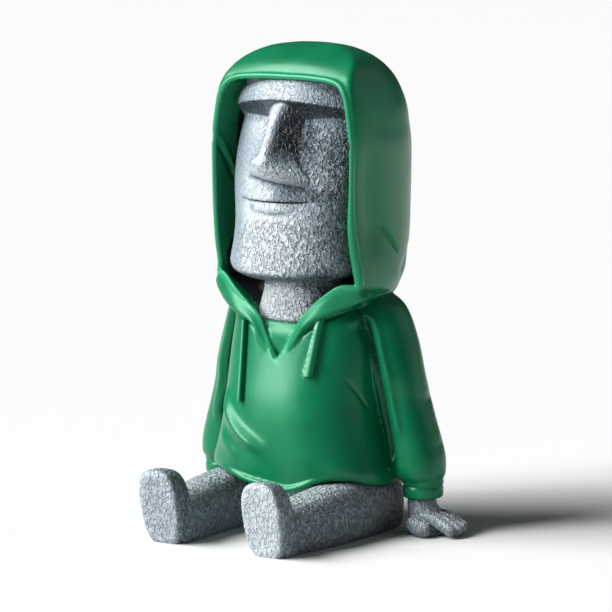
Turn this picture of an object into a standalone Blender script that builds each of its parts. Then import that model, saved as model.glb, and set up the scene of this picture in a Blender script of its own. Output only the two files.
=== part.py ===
"""A seated moai in a hooded sweatshirt: a small cast-resin ornament.

The figure faces -Y, its left hand is on +X, and it sits on the plane Z = 0.
The whole ornament is one casting, so every form below is fused into one solid.
"""

import bmesh
import bpy
import numpy as np
from mathutils import Matrix, Vector

# Height of the finished casting, in metres
TOTAL_HEIGHT = 0.205

# Hood: the opening's edge, the walls and the space round the face
HOOD_HALF_WIDTH = 0.0376
HOOD_BACK = 0.0656
HOOD_RIM_Y = -0.0004
RIM_HALF_WIDTH = 0.0345
RIM_TOP_Z = 0.1920
RIM_BEAD_RADIUS = 0.0014
HOOD_CAVITY_BACK = 0.0300
HOOD_WALL = 0.0026

# Neck opening of the sweatshirt
COLLAR_CORNER = (0.0354, 0.0044, 0.1056)
VEE_BOTTOM = (0.0, -0.0042, 0.0738)
COLLAR_THICKNESS = 0.0024
NECKLINE_Z = 0.0898
UNDERSHIRT_FRONT = -0.0006

# Sweatshirt body
HEM_Z = 0.0175
HEM_HALF_WIDTH = 0.0400
WAIST_HALF_WIDTH = 0.0342
BELLY_FRONT = -0.0130
TORSO_BACK = 0.0510
SHOULDER_Z = 0.1005

# Drawstrings: the flat cord, how proud it lies, and where each one starts and ends
STRING_HALF_WIDTH = 0.0021
STRING_THICKNESS = 0.0026
STRING_STAND_OFF = 0.55
STRING_TOP = (0.0187, 0.0925)
LEFT_STRING_END = (0.0170, 0.0670)
RIGHT_STRING_END = (0.0152, 0.0550)

# Sleeves and cuffs
SLEEVE_Y = 0.0298
ELBOW_X = 0.0476
CUFF_X = 0.0508
CUFF_RADIUS = 0.0078
CUFF_TOP_Z = 0.0225
CUFF_BOTTOM_Z = 0.0150

# Stone head
JAW_HALF_WIDTH = 0.0298
CHEEK_HALF_WIDTH = 0.0299
CHIN_FRONT = -0.0113
JAW_BOTTOM_Z = 0.1063
HEAD_BACK = 0.0420
MOUTH_Z = 0.1402
MOUTH_HALF_WIDTH = 0.0160
NOSE_BASE_Z = 0.1503
NOSE_HALF_WIDTH = 0.0156
NOSE_TIP = (0.0, -0.0148, 0.1543)
BROW_HALF_WIDTH = 0.0286
BROW_EDGE_Y = -0.0026
BROW_EDGE_Z = 0.1825
BROW_HEIGHT = 0.0110
EYE_LINE_Z = 0.1738
NECK_RADIUS = 0.0175
NECK_Y = 0.0170

# Stone legs and seat
FOOT_X = 0.0258
FOOT_HALF_WIDTH = 0.0101
FOOT_HEIGHT = 0.0317
SOLE_Y = -0.0496
TOE_LEAN = 0.0072
ANKLE_HEIGHT = 0.0200
KNEE_HEIGHT = 0.0262
SEAT_HALF_WIDTH = 0.0395
SEAT_BACK = 0.0440

# Stone hands
PALM_X = 0.0530
FINGER_REACH = 0.0180
FINGER_RADIUS = 0.0028
HAND_TURN = np.radians(3.0)

# Directions as seen by the viewer of each side
FRONT, BACK, LEFT, RIGHT = (0, -1, 0), (0, 1, 0), (1, 0, 0), (-1, 0, 0)

# Surface resolution
VOXEL = 0.0008
RING_POINTS = 48
CLOTH_TRIANGLES = 5200
HEAD_TRIANGLES = 2400
LEG_TRIANGLES = 1300
HAND_TRIANGLES = 400


def clear_scene():
    for item in list(bpy.data.objects):
        bpy.data.objects.remove(item, do_unlink=True)


def through(stations, count):
    """A smooth run of rows that passes through every station (Catmull-Rom)."""
    rows = np.array(stations, float)
    padded = np.vstack([2 * rows[0] - rows[1], rows, 2 * rows[-1] - rows[-2]])
    made = []
    for place in np.linspace(0, len(rows) - 1 - 1e-9, count):
        i = int(place)
        t = place - i
        a, b, c, d = padded[i : i + 4]
        made.append(
            0.5
            * (
                2 * b
                + (c - a) * t
                + (2 * a - 5 * b + 4 * c - d) * t**2
                + (3 * b - a - 3 * c + d) * t**3
            )
        )
    return np.array(made)


def oval(points, exponent):
    """A unit superellipse: 2 is round, and higher values are squarer."""
    turn = np.linspace(0, 2 * np.pi, points, endpoint=False)
    power = 2.0 / exponent
    across = np.sign(np.cos(turn)) * np.abs(np.cos(turn)) ** power
    along = np.sign(np.sin(turn)) * np.abs(np.sin(turn)) ** power
    return across, along


def new_object(name, mesh_builder):
    mesh = bpy.data.meshes.new(name)
    build = bmesh.new()
    mesh_builder(build)
    bmesh.ops.recalc_face_normals(build, faces=build.faces[:])
    build.to_mesh(mesh)
    build.free()
    made = bpy.data.objects.new(name, mesh)
    figure_parts.objects.link(made)
    return made


def loft(name, rings):
    """A closed skin over a list of rings, each an array of points."""

    def build(b):
        rows = [[b.verts.new(p) for p in ring] for ring in rings]
        for low, high in zip(rows, rows[1:]):
            for k in range(len(low)):
                j = (k + 1) % len(low)
                b.faces.new((low[k], low[j], high[j], high[k]))
        b.faces.new(rows[0])
        b.faces.new(rows[-1])

    return new_object(name, build)


def stack(name, stations, exponent, count=40, front_limit=None):
    """A standing form. Each station is (z, centre x, half width, front y, back y)."""
    across, along = oval(RING_POINTS, exponent)
    rings = []
    for z, cx, half, front, back in through(stations, count):
        middle = (front + back) / 2
        y = middle + along * (back - front) / 2
        if front_limit is not None:
            y = np.maximum(y, front_limit(z))
        rings.append(np.column_stack([cx + across * half, y, np.full_like(y, z)]))
    return loft(name, rings)


def log(name, stations, exponent, count=40):
    """A lying form along Y. Each station is (y, centre x, half width, low z, high z)."""
    across, along = oval(RING_POINTS, exponent)
    rings = []
    for y, cx, half, low, high in through(stations, count):
        z = (low + high) / 2 + along * (high - low) / 2
        rings.append(np.column_stack([cx + across * half, np.full_like(z, y), z]))
    return loft(name, rings)


def tube(name, points, radius, flatness=1.0, steps=60):
    """A round or flattened cord through the points, with rounded ends."""
    path = through(points, steps)
    ahead = np.gradient(path, axis=0)
    ahead /= np.linalg.norm(ahead, axis=1)[:, None]
    side = np.cross(ahead, (0, 1, 0))
    side /= np.linalg.norm(side, axis=1)[:, None]
    outward = np.cross(side, ahead)
    turn = np.linspace(0, 2 * np.pi, 12, endpoint=False)
    rings = []
    for k, (p, s, o) in enumerate(zip(path, side, outward)):
        end = min(k, steps - 1 - k)
        full = np.sqrt(1 - (1 - min(end / 4, 1)) ** 2 * 0.9)
        ring = p + full * radius * (
            np.outer(np.cos(turn), s) + flatness * np.outer(np.sin(turn), o)
        )
        rings.append(ring)
    return loft(name, rings)


def mirrored(source):
    """The same form on the other side of the figure."""
    made = source.copy()
    made.data = source.data.copy()
    made.name = source.name + "_mirror"
    made.data.transform(Matrix.Diagonal((-1, 1, 1, 1)))
    made.data.flip_normals()
    figure_parts.objects.link(made)
    return made


def apply_modifier(made, kind, **settings):
    modifier = made.modifiers.new(kind.title(), kind)
    for key, value in settings.items():
        setattr(modifier, key, value)
    bpy.context.view_layer.objects.active = made
    bpy.ops.object.modifier_apply(modifier=modifier.name)


def cut(made, cutter):
    apply_modifier(made, "BOOLEAN", operation="DIFFERENCE", object=cutter)
    bpy.data.objects.remove(cutter, do_unlink=True)


def soften(made, smoothing):
    """Round every edge of a form a little."""
    apply_modifier(made, "REMESH", mode="VOXEL", voxel_size=VOXEL)
    apply_modifier(made, "SMOOTH", factor=0.5, iterations=smoothing)


def fuse(name, forms, smoothing):
    """Overlapping forms become one skin, as when clay is pressed together."""
    bpy.ops.object.select_all(action="DESELECT")
    for form in forms:
        form.select_set(True)
    bpy.context.view_layer.objects.active = forms[0]
    bpy.ops.object.join()
    made = forms[0]
    made.name = name
    soften(made, smoothing)
    return made


def thin_out(made, triangles):
    apply_modifier(made, "TRIANGULATE")
    share = triangles / len(made.data.polygons)
    apply_modifier(made, "DECIMATE", ratio=min(share, 1.0))


def stroke(made, facing, points, width, height, taper=0.35):
    """One stroke over the surface: a ridge, or a groove where height is negative.

    The points are read as seen from the facing side: (x, z) from the front or
    the back, and (y, z) from the left or the right.
    """
    mesh = made.data
    count = len(mesh.vertices)
    place = np.empty(count * 3, np.float32)
    normal = np.empty(count * 3, np.float32)
    mesh.vertices.foreach_get("co", place)
    mesh.vertices.foreach_get("normal", normal)
    place = place.reshape(-1, 3).astype(float)
    normal = normal.reshape(-1, 3).astype(float)
    seen = place[:, [0, 2]] if facing[0] == 0 else place[:, [1, 2]]
    line = through(points, 24)
    nearest = np.full(count, 1e9)
    share = np.zeros(count)
    for k, (a, b) in enumerate(zip(line, line[1:])):
        run = b - a
        t = np.clip(((seen - a) @ run) / (run @ run), 0, 1)
        gap = np.linalg.norm(seen - a - t[:, None] * run, axis=1)
        closer = gap < nearest
        nearest[closer] = gap[closer]
        share[closer] = (k + t[closer]) / (len(line) - 1)
    ends = np.clip(np.minimum(share, 1 - share) / taper, 0, 1)
    ends = ends * ends * (3 - 2 * ends)
    turned = np.clip((normal @ np.array(facing, float) - 0.15) / 0.35, 0, 1)
    push = height * np.exp(-((nearest / width) ** 2)) * ends * turned
    place += normal * push[:, None]
    mesh.vertices.foreach_set("co", place.astype(np.float32).ravel())
    mesh.update()


def rim_front(z):
    """How far forward the hood's edge stands at each height."""
    collar_heights, collar_leans = [0.086, 0.105, 0.113, 0.122], [0.003, 0.006, 0.0040, 0.0024]
    face_heights, face_leans = [0.133, 0.178, 0.187, 0.191], [0.0010, 0.0, 0.0006, 0.0013]
    crown_heights = [0.193, 0.195, 0.1975, 0.200, 0.2025, 0.2042, 0.2054]
    crown_leans = [0.0024, 0.0039, 0.0064, 0.0096, 0.0138, 0.0180, 0.0234]
    heights = collar_heights + face_heights + crown_heights
    leans = collar_leans + face_leans + crown_leans
    return HOOD_RIM_Y + np.interp(z, heights, leans)


def rim_edge():
    """Half of the opening's edge round the face, from the crown to the corner."""
    wide = RIM_HALF_WIDTH
    return [
        (0.0, 0.0016, RIM_TOP_Z),
        (0.0140, 0.0014, RIM_TOP_Z - 0.0002),
        (0.0255, 0.0010, RIM_TOP_Z - 0.0016),
        (0.0305, 0.0000, 0.1860),
        (wide - 0.0016, HOOD_RIM_Y, 0.1770),
        (wide, HOOD_RIM_Y, 0.1640),
        (wide, HOOD_RIM_Y, 0.1480),
        (wide - 0.0003, 0.0000, 0.1330),
        (wide, 0.0018, 0.1210),
        (wide + 0.0004, 0.0042, 0.1120),
        COLLAR_CORNER,
    ]


def collar_edge():
    """Half of the band's free edge, from the hood's corner down to the vee."""
    return [
        COLLAR_CORNER,
        (0.0318, 0.0020, 0.1060),
        (0.0275, 0.0004, 0.1053),
        (0.0220, -0.0008, 0.1016),
        (0.0160, -0.0014, 0.0966),
        (0.0106, -0.0022, 0.0903),
        (0.0062, -0.0031, 0.0826),
        (0.0026, -0.0038, 0.0769),
        VEE_BOTTOM,
    ]


def collar_crease():
    """Where the band meets the sweatshirt, point for point with its free edge."""
    return [
        (0.0384, 0.0100, 0.1026),
        (0.0368, 0.0058, 0.0998),
        (0.0314, 0.0024, 0.0970),
        (0.0258, -0.0004, 0.0945),
        (0.0206, -0.0022, 0.0922),
        (0.0140, -0.0038, 0.0876),
        (0.0090, -0.0046, 0.0810),
        (0.0048, -0.0049, 0.0756),
        (0.0006, -0.0050, 0.0716),
    ]


def hood_outside():
    back = HOOD_BACK
    outer = [
        (0.0930, 0, 0.0250, 0.004, 0.0490),
        (0.1000, 0, 0.0330, -0.008, 0.0540),
        (0.1042, 0, 0.0362, -0.022, 0.0558),
        (0.1077, 0, 0.0374, -0.024, 0.0580),
        (0.1120, 0, 0.0376, -0.026, 0.0605),
        (0.1236, 0, 0.0372, -0.028, back - 0.0016),
        (0.1365, 0, 0.0369, -0.028, back - 0.0002),
        (0.1520, 0, 0.0372, -0.028, back),
        (0.1634, 0, HOOD_HALF_WIDTH, -0.028, back - 0.0008),
        (0.1707, 0, 0.0370, -0.028, back - 0.0018),
        (0.1787, 0, 0.0362, -0.026, back - 0.0034),
        (0.1860, 0, 0.0347, -0.024, back - 0.0070),
        (0.1910, 0, 0.0330, -0.021, back - 0.0106),
        (0.1950, 0, 0.0310, -0.018, back - 0.0150),
        (0.1984, 0, 0.0284, -0.014, back - 0.0200),
        (0.2014, 0, 0.0244, -0.009, back - 0.0258),
        (0.2038, 0, 0.0184, -0.002, back - 0.0320),
        (0.2052, 0, 0.0090, 0.007, back - 0.0385),
    ]
    return stack("hood", outer, 2.7, count=70, front_limit=rim_front)


def face_hollow():
    """The space round the head and the neck, open to the front."""
    inside = HOOD_HALF_WIDTH - HOOD_WALL
    back = HOOD_CAVITY_BACK
    space = [
        (NECKLINE_Z - 0.0010, 0, 0.0120, -0.030, back - 0.010),
        (0.0920, 0, 0.0170, -0.030, back - 0.006),
        (0.0970, 0, 0.0220, -0.030, back - 0.002),
        (0.1010, 0, 0.0265, -0.034, back),
        (0.1050, 0, 0.0315, -0.034, back),
        (0.1090, 0, 0.0340, -0.034, back),
        (0.1360, 0, inside - 0.0008, -0.034, back),
        (0.1634, 0, inside, -0.034, back),
        (0.1760, 0, 0.0334, -0.032, back),
        (0.1850, 0, 0.0302, -0.030, back - 0.003),
        (RIM_TOP_Z - 0.0010, 0, 0.0235, -0.026, back - 0.008),
    ]
    return stack("face_hollow", space, 3.2, count=44)


def vee_opening():
    """The part of the chest that is cut back to the undershirt."""
    above_edge = (RIM_HALF_WIDTH - 0.0015, COLLAR_CORNER[2] + 0.0044)
    half = [above_edge] + [(x, z) for x, y, z in through(collar_edge(), 30)]
    outline = half + [(-x, z) for x, z in reversed(half[:-1])]
    depth = UNDERSHIRT_FRONT + 0.0050
    rings = [np.array([(x, y, z) for x, z in outline]) for y in (-0.030, depth)]
    return loft("vee_opening", rings)


def rim_bead():
    """The rolled edge, in one run up one side of the opening and down the other."""
    half = rim_edge() + collar_edge()[1:]
    whole = [(-x, y, z) for x, y, z in reversed(half[1:])] + half
    return tube("rim_bead", whole, RIM_BEAD_RADIUS, steps=240)


def collar_band():
    """The turned-out band between its free edge and the crease below it."""
    free = through(collar_edge(), 60)
    crease = through(collar_crease(), 60)
    ahead = np.gradient(free, axis=0)
    turn = np.linspace(0, 2 * np.pi, 16, endpoint=False)
    rings = []
    thinning = np.interp(np.arange(60), [0, 36, 59], [1.0, 1.0, 0.35])
    for f, c, a, thin in zip(free, crease, ahead, thinning):
        middle = (f + c) / 2
        across = (f - c) / 2
        outward = np.cross(a, across)
        outward *= np.sign(-outward[1]) / np.linalg.norm(outward)
        thick = thin * min(COLLAR_THICKNESS / 2, np.linalg.norm(across))
        rings.append(
            middle
            + np.outer(np.cos(turn), across)
            + np.outer(np.sign(np.sin(turn)) * np.abs(np.sin(turn)) ** 0.7, outward * thick)
        )
    band = loft("collar_band", rings)
    return [band, mirrored(band)]


def torso():
    hem, waist, back = HEM_HALF_WIDTH, WAIST_HALF_WIDTH, TORSO_BACK
    stations = [
        (HEM_Z - 0.0020, 0, hem - 0.0050, BELLY_FRONT + 0.0060, back - 0.0050),
        (HEM_Z + 0.0003, 0, hem - 0.0010, BELLY_FRONT + 0.0016, back - 0.0010),
        (HEM_Z + 0.0060, 0, hem + 0.0002, BELLY_FRONT + 0.0002, back),
        (HEM_Z + 0.0150, 0, hem - 0.0016, BELLY_FRONT + 0.0002, back),
        (0.0440, 0, waist + 0.0014, -0.0115, back),
        (0.0560, 0, waist, -0.0092, back - 0.0004),
        (0.0700, 0, waist - 0.0002, -0.0066, back - 0.0010),
        (0.0820, 0, waist - 0.0008, -0.0046, back - 0.0018),
        (0.0900, 0, waist - 0.0022, -0.0028, back - 0.0026),
        (0.0960, 0, waist - 0.0060, 0.0004, back - 0.0045),
        (SHOULDER_Z, 0, waist - 0.0110, 0.0060, back - 0.0070),
        (SHOULDER_Z + 0.0040, 0, waist - 0.0200, 0.0140, back - 0.0130),
    ]
    return stack("torso", stations, 2.6, count=50)


def hem_roll():
    """The rounded lower edge of the sweatshirt, lifted where it crosses the thighs."""
    run = []
    for angle in np.linspace(-np.pi / 2, np.pi * 1.5, 33):
        x = (HEM_HALF_WIDTH - 0.0010) * np.sign(np.cos(angle)) * abs(np.cos(angle)) ** 0.77
        middle = (BELLY_FRONT + TORSO_BACK) / 2
        y = middle + (TORSO_BACK - BELLY_FRONT) / 2 * np.sin(angle)
        rise = np.exp(-(((abs(x) - 0.028) / 0.0095) ** 2)) * (np.sin(angle) < 0)
        run.append((x, y * 0.985 + 0.0003, HEM_Z + 0.0028 + 0.0062 * rise))
    return tube("hem_roll", run, 0.0021, steps=200)


def sleeve():
    y = SLEEVE_Y
    stations = [
        (SHOULDER_Z + 0.0025, 0.0200, 0.0060, y - 0.0100, y + 0.0050),
        (SHOULDER_Z - 0.0015, 0.0252, 0.0105, y - 0.0140, y + 0.0095),
        (0.0930, 0.0302, 0.0118, y - 0.0152, y + 0.0110),
        (0.0800, 0.0353, 0.0113, y - 0.0148, y + 0.0122),
        (0.0670, 0.0392, 0.0107, y - 0.0143, y + 0.0115),
        (0.0580, 0.0413, 0.0105, y - 0.0130, y + 0.0122),
        (0.0480, 0.0440, 0.0106, y - 0.0125, y + 0.0125),
        (0.0400, 0.0462, 0.0110, y - 0.0123, y + 0.0128),
        (0.0330, ELBOW_X, 0.0115, y - 0.0122, y + 0.0132),
        (0.0278, ELBOW_X + 0.0006, 0.0114, y - 0.0122, y + 0.0130),
        (0.0240, ELBOW_X + 0.0018, 0.0100, y - 0.0108, y + 0.0112),
        (CUFF_TOP_Z - 0.0010, CUFF_X - 0.0006, 0.0070, y - 0.0075, y + 0.0075),
    ]
    return stack("sleeve", stations, 2.2, count=50)


def cuff():
    y = SLEEVE_Y + 0.0006
    r = CUFF_RADIUS
    stations = [
        (CUFF_BOTTOM_Z, CUFF_X, r - 0.0008, y - r + 0.0004, y + r - 0.0004),
        (CUFF_BOTTOM_Z + 0.0014, CUFF_X, r + 0.0002, y - r - 0.0006, y + r + 0.0006),
        (CUFF_TOP_Z - 0.0014, CUFF_X, r, y - r - 0.0003, y + r + 0.0003),
        (CUFF_TOP_Z + 0.0030, CUFF_X - 0.0006, r - 0.0012, y - r, y + r),
    ]
    return stack("cuff", stations, 2.1, count=20)


def drawstring(chest, side, top, end):
    """A flat cord that lies on the chest and comes out from under the collar band."""
    points = []
    for t in np.linspace(0, 1, 6):
        x = side * (top[0] * (1 - t) + end[0] * t)
        z = top[1] * (1 - t) + end[1] * t
        surface = chest.ray_cast((x, -1, z), (0, 1, 0))[1]
        points.append((x, surface.y - STRING_THICKNESS * STRING_STAND_OFF, z))
    return tube(
        f"drawstring_{'left' if side > 0 else 'right'}",
        points,
        STRING_HALF_WIDTH,
        flatness=STRING_THICKNESS / STRING_HALF_WIDTH / 2,
        steps=30,
    )


def undershirt():
    """The plain panel that closes the bottom of the vee."""
    front = UNDERSHIRT_FRONT
    stations = [
        (VEE_BOTTOM[2] - 0.0060, 0, 0.0200, front + 0.0010, 0.0300),
        (NECKLINE_Z - 0.0098, 0, 0.0204, front, 0.0300),
        (NECKLINE_Z - 0.0042, 0, 0.0208, front + 0.0002, 0.0300),
        (NECKLINE_Z - 0.0014, 0, 0.0208, front + 0.0018, 0.0300),
        (NECKLINE_Z, 0, 0.0202, front + 0.0034, 0.0300),
    ]
    return stack("undershirt", stations, 2.4, count=12)


def drape_folds(cloth):
    """The folds that show from a step away, each one a stroke or two."""
    belly = [(-0.024, 0.062), (-0.021, 0.054), (-0.014, 0.046), (0.000, 0.037)]
    stroke(cloth, FRONT, belly, 0.0030, 0.0016)
    below = [(-0.022, 0.054), (-0.019, 0.047), (-0.011, 0.0395), (0.002, 0.033)]
    stroke(cloth, FRONT, below, 0.0022, -0.0012)
    lower = [(-0.030, 0.050), (-0.024, 0.043), (-0.015, 0.035), (-0.008, 0.031)]
    stroke(cloth, FRONT, lower, 0.0024, 0.0015)
    stroke(cloth, FRONT, [(-0.034, 0.036), (-0.026, 0.031), (-0.015, 0.0275)], 0.0022, 0.0011)
    flank = [(0.0000, 0.071), (0.0080, 0.060), (0.0170, 0.050)]
    stroke(cloth, LEFT, flank, 0.0016, -0.0011)
    stroke(cloth, FRONT, [(0.029, 0.068), (0.032, 0.060), (0.0345, 0.050)], 0.0022, 0.0010)
    hood_valley = [(0.006, 0.165), (0.0075, 0.145), (0.011, 0.128), (0.016, 0.116)]
    for side in (LEFT, RIGHT):
        stroke(cloth, side, hood_valley, 0.0055, -0.0016)
        stroke(cloth, side, [(0.017, 0.133), (0.025, 0.125), (0.033, 0.117)], 0.0012, -0.0010)
        stroke(cloth, side, [(0.033, 0.108), (0.042, 0.112), (0.052, 0.121)], 0.0030, -0.0012)
        stroke(cloth, side, [(0.018, 0.042), (0.028, 0.0385), (0.040, 0.041)], 0.0020, -0.0010)
        stroke(cloth, side, [(0.018, 0.056), (0.030, 0.053), (0.041, 0.057)], 0.0024, -0.0009)
    for x in (-1, 1):
        groove = [(0.0318, 0.0905), (0.0355, 0.076), (0.0386, 0.057), (0.0445, 0.0276)]
        stroke(cloth, FRONT, [(x * a, z) for a, z in groove], 0.0016, -0.0012, taper=0.12)
        ridge = [(0.0346, 0.0914), (0.0374, 0.0846), (0.0414, 0.069), (0.0474, 0.040)]
        stroke(cloth, FRONT, [(x * a, z) for a, z in ridge], 0.0018, 0.0008, taper=0.12)
        stroke(cloth, BACK, [(x * 0.020, 0.060), (x * 0.012, 0.048), (0, 0.042)], 0.0030, 0.0012)
        stroke(cloth, BACK, [(x * 0.024, 0.040), (x * 0.014, 0.031), (0, 0.027)], 0.0028, 0.0011)
    stroke(cloth, BACK, [(-0.018, 0.104), (0.0, 0.1085), (0.018, 0.104)], 0.0030, -0.0018)


def make_cloth():
    chest = torso()
    hood = hood_outside()
    soften(hood, 14)
    strings = [
        drawstring(chest, 1, STRING_TOP, LEFT_STRING_END),
        drawstring(chest, -1, (STRING_TOP[0], STRING_TOP[1] - 0.0040), RIGHT_STRING_END),
    ]
    cut(hood, face_hollow())
    cut(chest, face_hollow())
    cut(chest, vee_opening())
    cut(hood, vee_opening())
    sleeves = [sleeve(), cuff()]
    forms = [chest, hood, rim_bead(), undershirt(), hem_roll()]
    forms += collar_band() + sleeves + [mirrored(form) for form in sleeves]
    cloth = fuse("cloth", forms + strings, smoothing=3)
    drape_folds(cloth)
    thin_out(cloth, CLOTH_TRIANGLES)
    return cloth


def head_block():
    """Face, cheeks and jaw as one block. The back is buried in the hood."""
    jaw, cheek, back, chin = JAW_HALF_WIDTH, CHEEK_HALF_WIDTH, HEAD_BACK, CHIN_FRONT
    low = JAW_BOTTOM_Z
    stations = [
        (low, 0, 0.0120, chin + 0.0085, back - 0.008),
        (low + 0.0008, 0, 0.0210, chin + 0.0045, back - 0.003),
        (low + 0.0034, 0, 0.0276, chin + 0.0008, back),
        (low + 0.0070, 0, jaw, chin, back),
        (0.1170, 0, jaw - 0.0004, chin + 0.0001, back),
        (0.1230, 0, 0.0284, chin + 0.0008, back),
        (0.1300, 0, 0.0280, -0.0096, back),
        (0.1370, 0, 0.0287, -0.0084, back),
        (0.1440, 0, 0.0295, -0.0069, back),
        (0.1500, 0, cheek, -0.0052, back),
        (0.1580, 0, cheek - 0.0003, -0.0030, back),
        (0.1640, 0, cheek - 0.0007, -0.0014, back),
        (0.1700, 0, cheek - 0.0015, 0.0002, back),
        (EYE_LINE_Z, 0, cheek - 0.0021, 0.0014, back),
        (0.1800, 0, cheek - 0.0021, 0.0020, back),
        (0.1900, 0, cheek - 0.0023, 0.0024, back - 0.001),
        (0.1965, 0, cheek - 0.0050, 0.0050, back - 0.004),
    ]
    return stack("head_block", stations, 2.5, count=70)


def crossbar(name, half_width, profile, count=41):
    """A form that runs across the face. The profile gives (y, z) rows for a share
    of the half width between -1 and 1."""
    rings = []
    for share in np.linspace(-1, 1, count):
        ring = [(share * half_width, y, z) for y, z in profile(share)]
        rings.append(np.array(ring))
    return loft(name, rings)


def brow():
    """The heavy brow: an upright band whose lower edge arches over the nose."""

    def profile(share):
        bend = 0.0098 * abs(share) ** 2.6
        y = BROW_EDGE_Y + bend
        z = BROW_EDGE_Z - 0.0038 * share**2
        eye_z = EYE_LINE_Z + 0.0006 * (1 - share**2)
        return [
            (y, z),
            (y, z + 0.0012),
            (y + 0.0024, z + BROW_HEIGHT * 0.45),
            (y + 0.0068, z + BROW_HEIGHT * 0.80),
            (y + 0.0105, z + BROW_HEIGHT),
            (0.0300, z + BROW_HEIGHT),
            (0.0300, eye_z - 0.0010),
            (y + 0.0055, eye_z - 0.0010),
            (y + 0.0042, eye_z + 0.0002),
            (y + 0.0008, z - 0.0016),
        ]

    return crossbar("brow", BROW_HALF_WIDTH, profile)


def nose():
    """A wedge with one ridge: narrow to just above the tip, then flared to the wings."""
    wing, tip_y = NOSE_HALF_WIDTH, NOSE_TIP[1]
    rings = []
    profile = [
        (0.1835, 0.0050, -0.0010, 0.0080),
        (0.1797, 0.0064, -0.0010, 0.0070),
        (0.1745, 0.0082, -0.0034, 0.0050),
        (0.1700, 0.0085, -0.0060, 0.0040),
        (0.1640, 0.0088, -0.0094, 0.0026),
        (0.1585, 0.0098, -0.0124, 0.0008),
        (NOSE_TIP[2], 0.0124, tip_y, -0.0014),
        (0.1522, wing - 0.0012, tip_y + 0.0010, -0.0030),
        (NOSE_BASE_Z, wing, tip_y + 0.0034, -0.0042),
        (0.1484, wing - 0.0030, tip_y + 0.0062, -0.0046),
        (0.1468, 0.0090, tip_y + 0.0088, -0.0050),
    ]
    turn = np.linspace(0, np.pi, 31)
    for z, wide, ridge, root in through(profile, 40):
        x = wide * np.cos(turn)
        lift = 1 - np.abs(np.cos(turn)) ** 1.2
        y = root + (ridge - root) * lift
        front = np.column_stack([x, y, np.full_like(x, z)])
        behind = [(-wide, 0.0160, z), (wide, 0.0160, z)]
        rings.append(np.vstack([front, behind]))
    return loft("nose", rings)


def lips():
    """Thin, firmly closed lips that follow the curve of the face."""
    made = []
    for name, z, half, thick, out in (
        ("upper_lip", MOUTH_Z + 0.0015, MOUTH_HALF_WIDTH, 0.0017, 0.0082),
        ("lower_lip", MOUTH_Z - 0.0022, MOUTH_HALF_WIDTH - 0.0020, 0.0024, 0.0084),
    ):
        points = []
        for share in np.linspace(-1, 1, 9):
            y = -out + 0.0042 * abs(share) ** 2.4
            points.append((share * half, y, z + 0.0006 * share**2))
        made.append(tube(name, points, thick, steps=36))
    return made


def neck():
    y, r = NECK_Y, NECK_RADIUS
    stations = [
        (0.0800, 0, r + 0.0035, y - r, y + r),
        (0.0900, 0, r + 0.0032, y - r - 0.0006, y + r + 0.002),
        (0.0960, 0, r + 0.0020, y - r - 0.0004, y + r + 0.004),
        (0.1040, 0, r, y - r, y + r + 0.006),
        (0.1160, 0, r + 0.0010, y - r, y + r + 0.006),
    ]
    return stack("neck", stations, 2.1, count=24)


def carve_face(head):
    """The slit of the mouth, the groove under the lower lip and the eye corners."""
    slit = MOUTH_HALF_WIDTH
    mouth_line = [(-slit, MOUTH_Z), (0, MOUTH_Z - 0.0002), (slit, MOUTH_Z)]
    stroke(head, FRONT, mouth_line, 0.0008, -0.0016, taper=0.05)
    under = [(-0.011, MOUTH_Z - 0.0048), (0, MOUTH_Z - 0.0062), (0.011, MOUTH_Z - 0.0048)]
    stroke(head, FRONT, under, 0.0018, -0.0008)
    for x in (-1, 1):
        corner = [(x * 0.0105, EYE_LINE_Z - 0.0010), (x * 0.0105, 0.1660), (x * 0.0110, 0.1590)]
        stroke(head, FRONT, corner, 0.0022, -0.0012)


def make_head():
    forms = [head_block(), brow(), neck(), nose()] + lips()
    head = fuse("stone_head", forms, smoothing=2)
    carve_face(head)
    thin_out(head, HEAD_TRIANGLES)
    return head


def leg():
    """Thigh to ankle: flat below, rounded above."""
    outward = 0.0026
    stations = [
        (SOLE_Y + 0.0030, FOOT_X, 0.0092, -0.0040, ANKLE_HEIGHT - 0.0020),
        (SOLE_Y + 0.0140, FOOT_X, 0.0095, -0.0040, ANKLE_HEIGHT),
        (-0.0220, FOOT_X + outward * 0.6, 0.0107, -0.0040, ANKLE_HEIGHT + 0.0026),
        (-0.0060, FOOT_X + outward * 0.9, 0.0116, -0.0040, KNEE_HEIGHT - 0.0008),
        (0.0150, FOOT_X + outward, 0.0119, -0.0040, KNEE_HEIGHT),
        (0.0280, FOOT_X + outward, 0.0110, -0.0040, KNEE_HEIGHT - 0.002),
    ]
    return log("leg", stations, 2.8, count=40)


def foot():
    """The upright slab of the foot: its sole faces forwards, toes leaning out."""
    half = FOOT_HALF_WIDTH
    across, along = oval(RING_POINTS, 2.8)
    rings = []
    layers = [
        (-0.0008, 0.86),
        (0.0000, 0.95),
        (0.0012, 1.0),
        (0.0060, 1.0),
        (0.0095, 0.96),
        (0.0110, 0.80),
    ]
    for depth, size in layers:
        height = FOOT_HEIGHT / 2
        z = height + along * height * size
        narrow = 1.0 - 0.07 * np.clip(1 - z / FOOT_HEIGHT, 0, 1)
        x = FOOT_X + across * half * size * narrow
        y = SOLE_Y + depth - TOE_LEAN * z / FOOT_HEIGHT
        rings.append(np.column_stack([x, y, z]))
    return loft("foot", rings)


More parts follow.
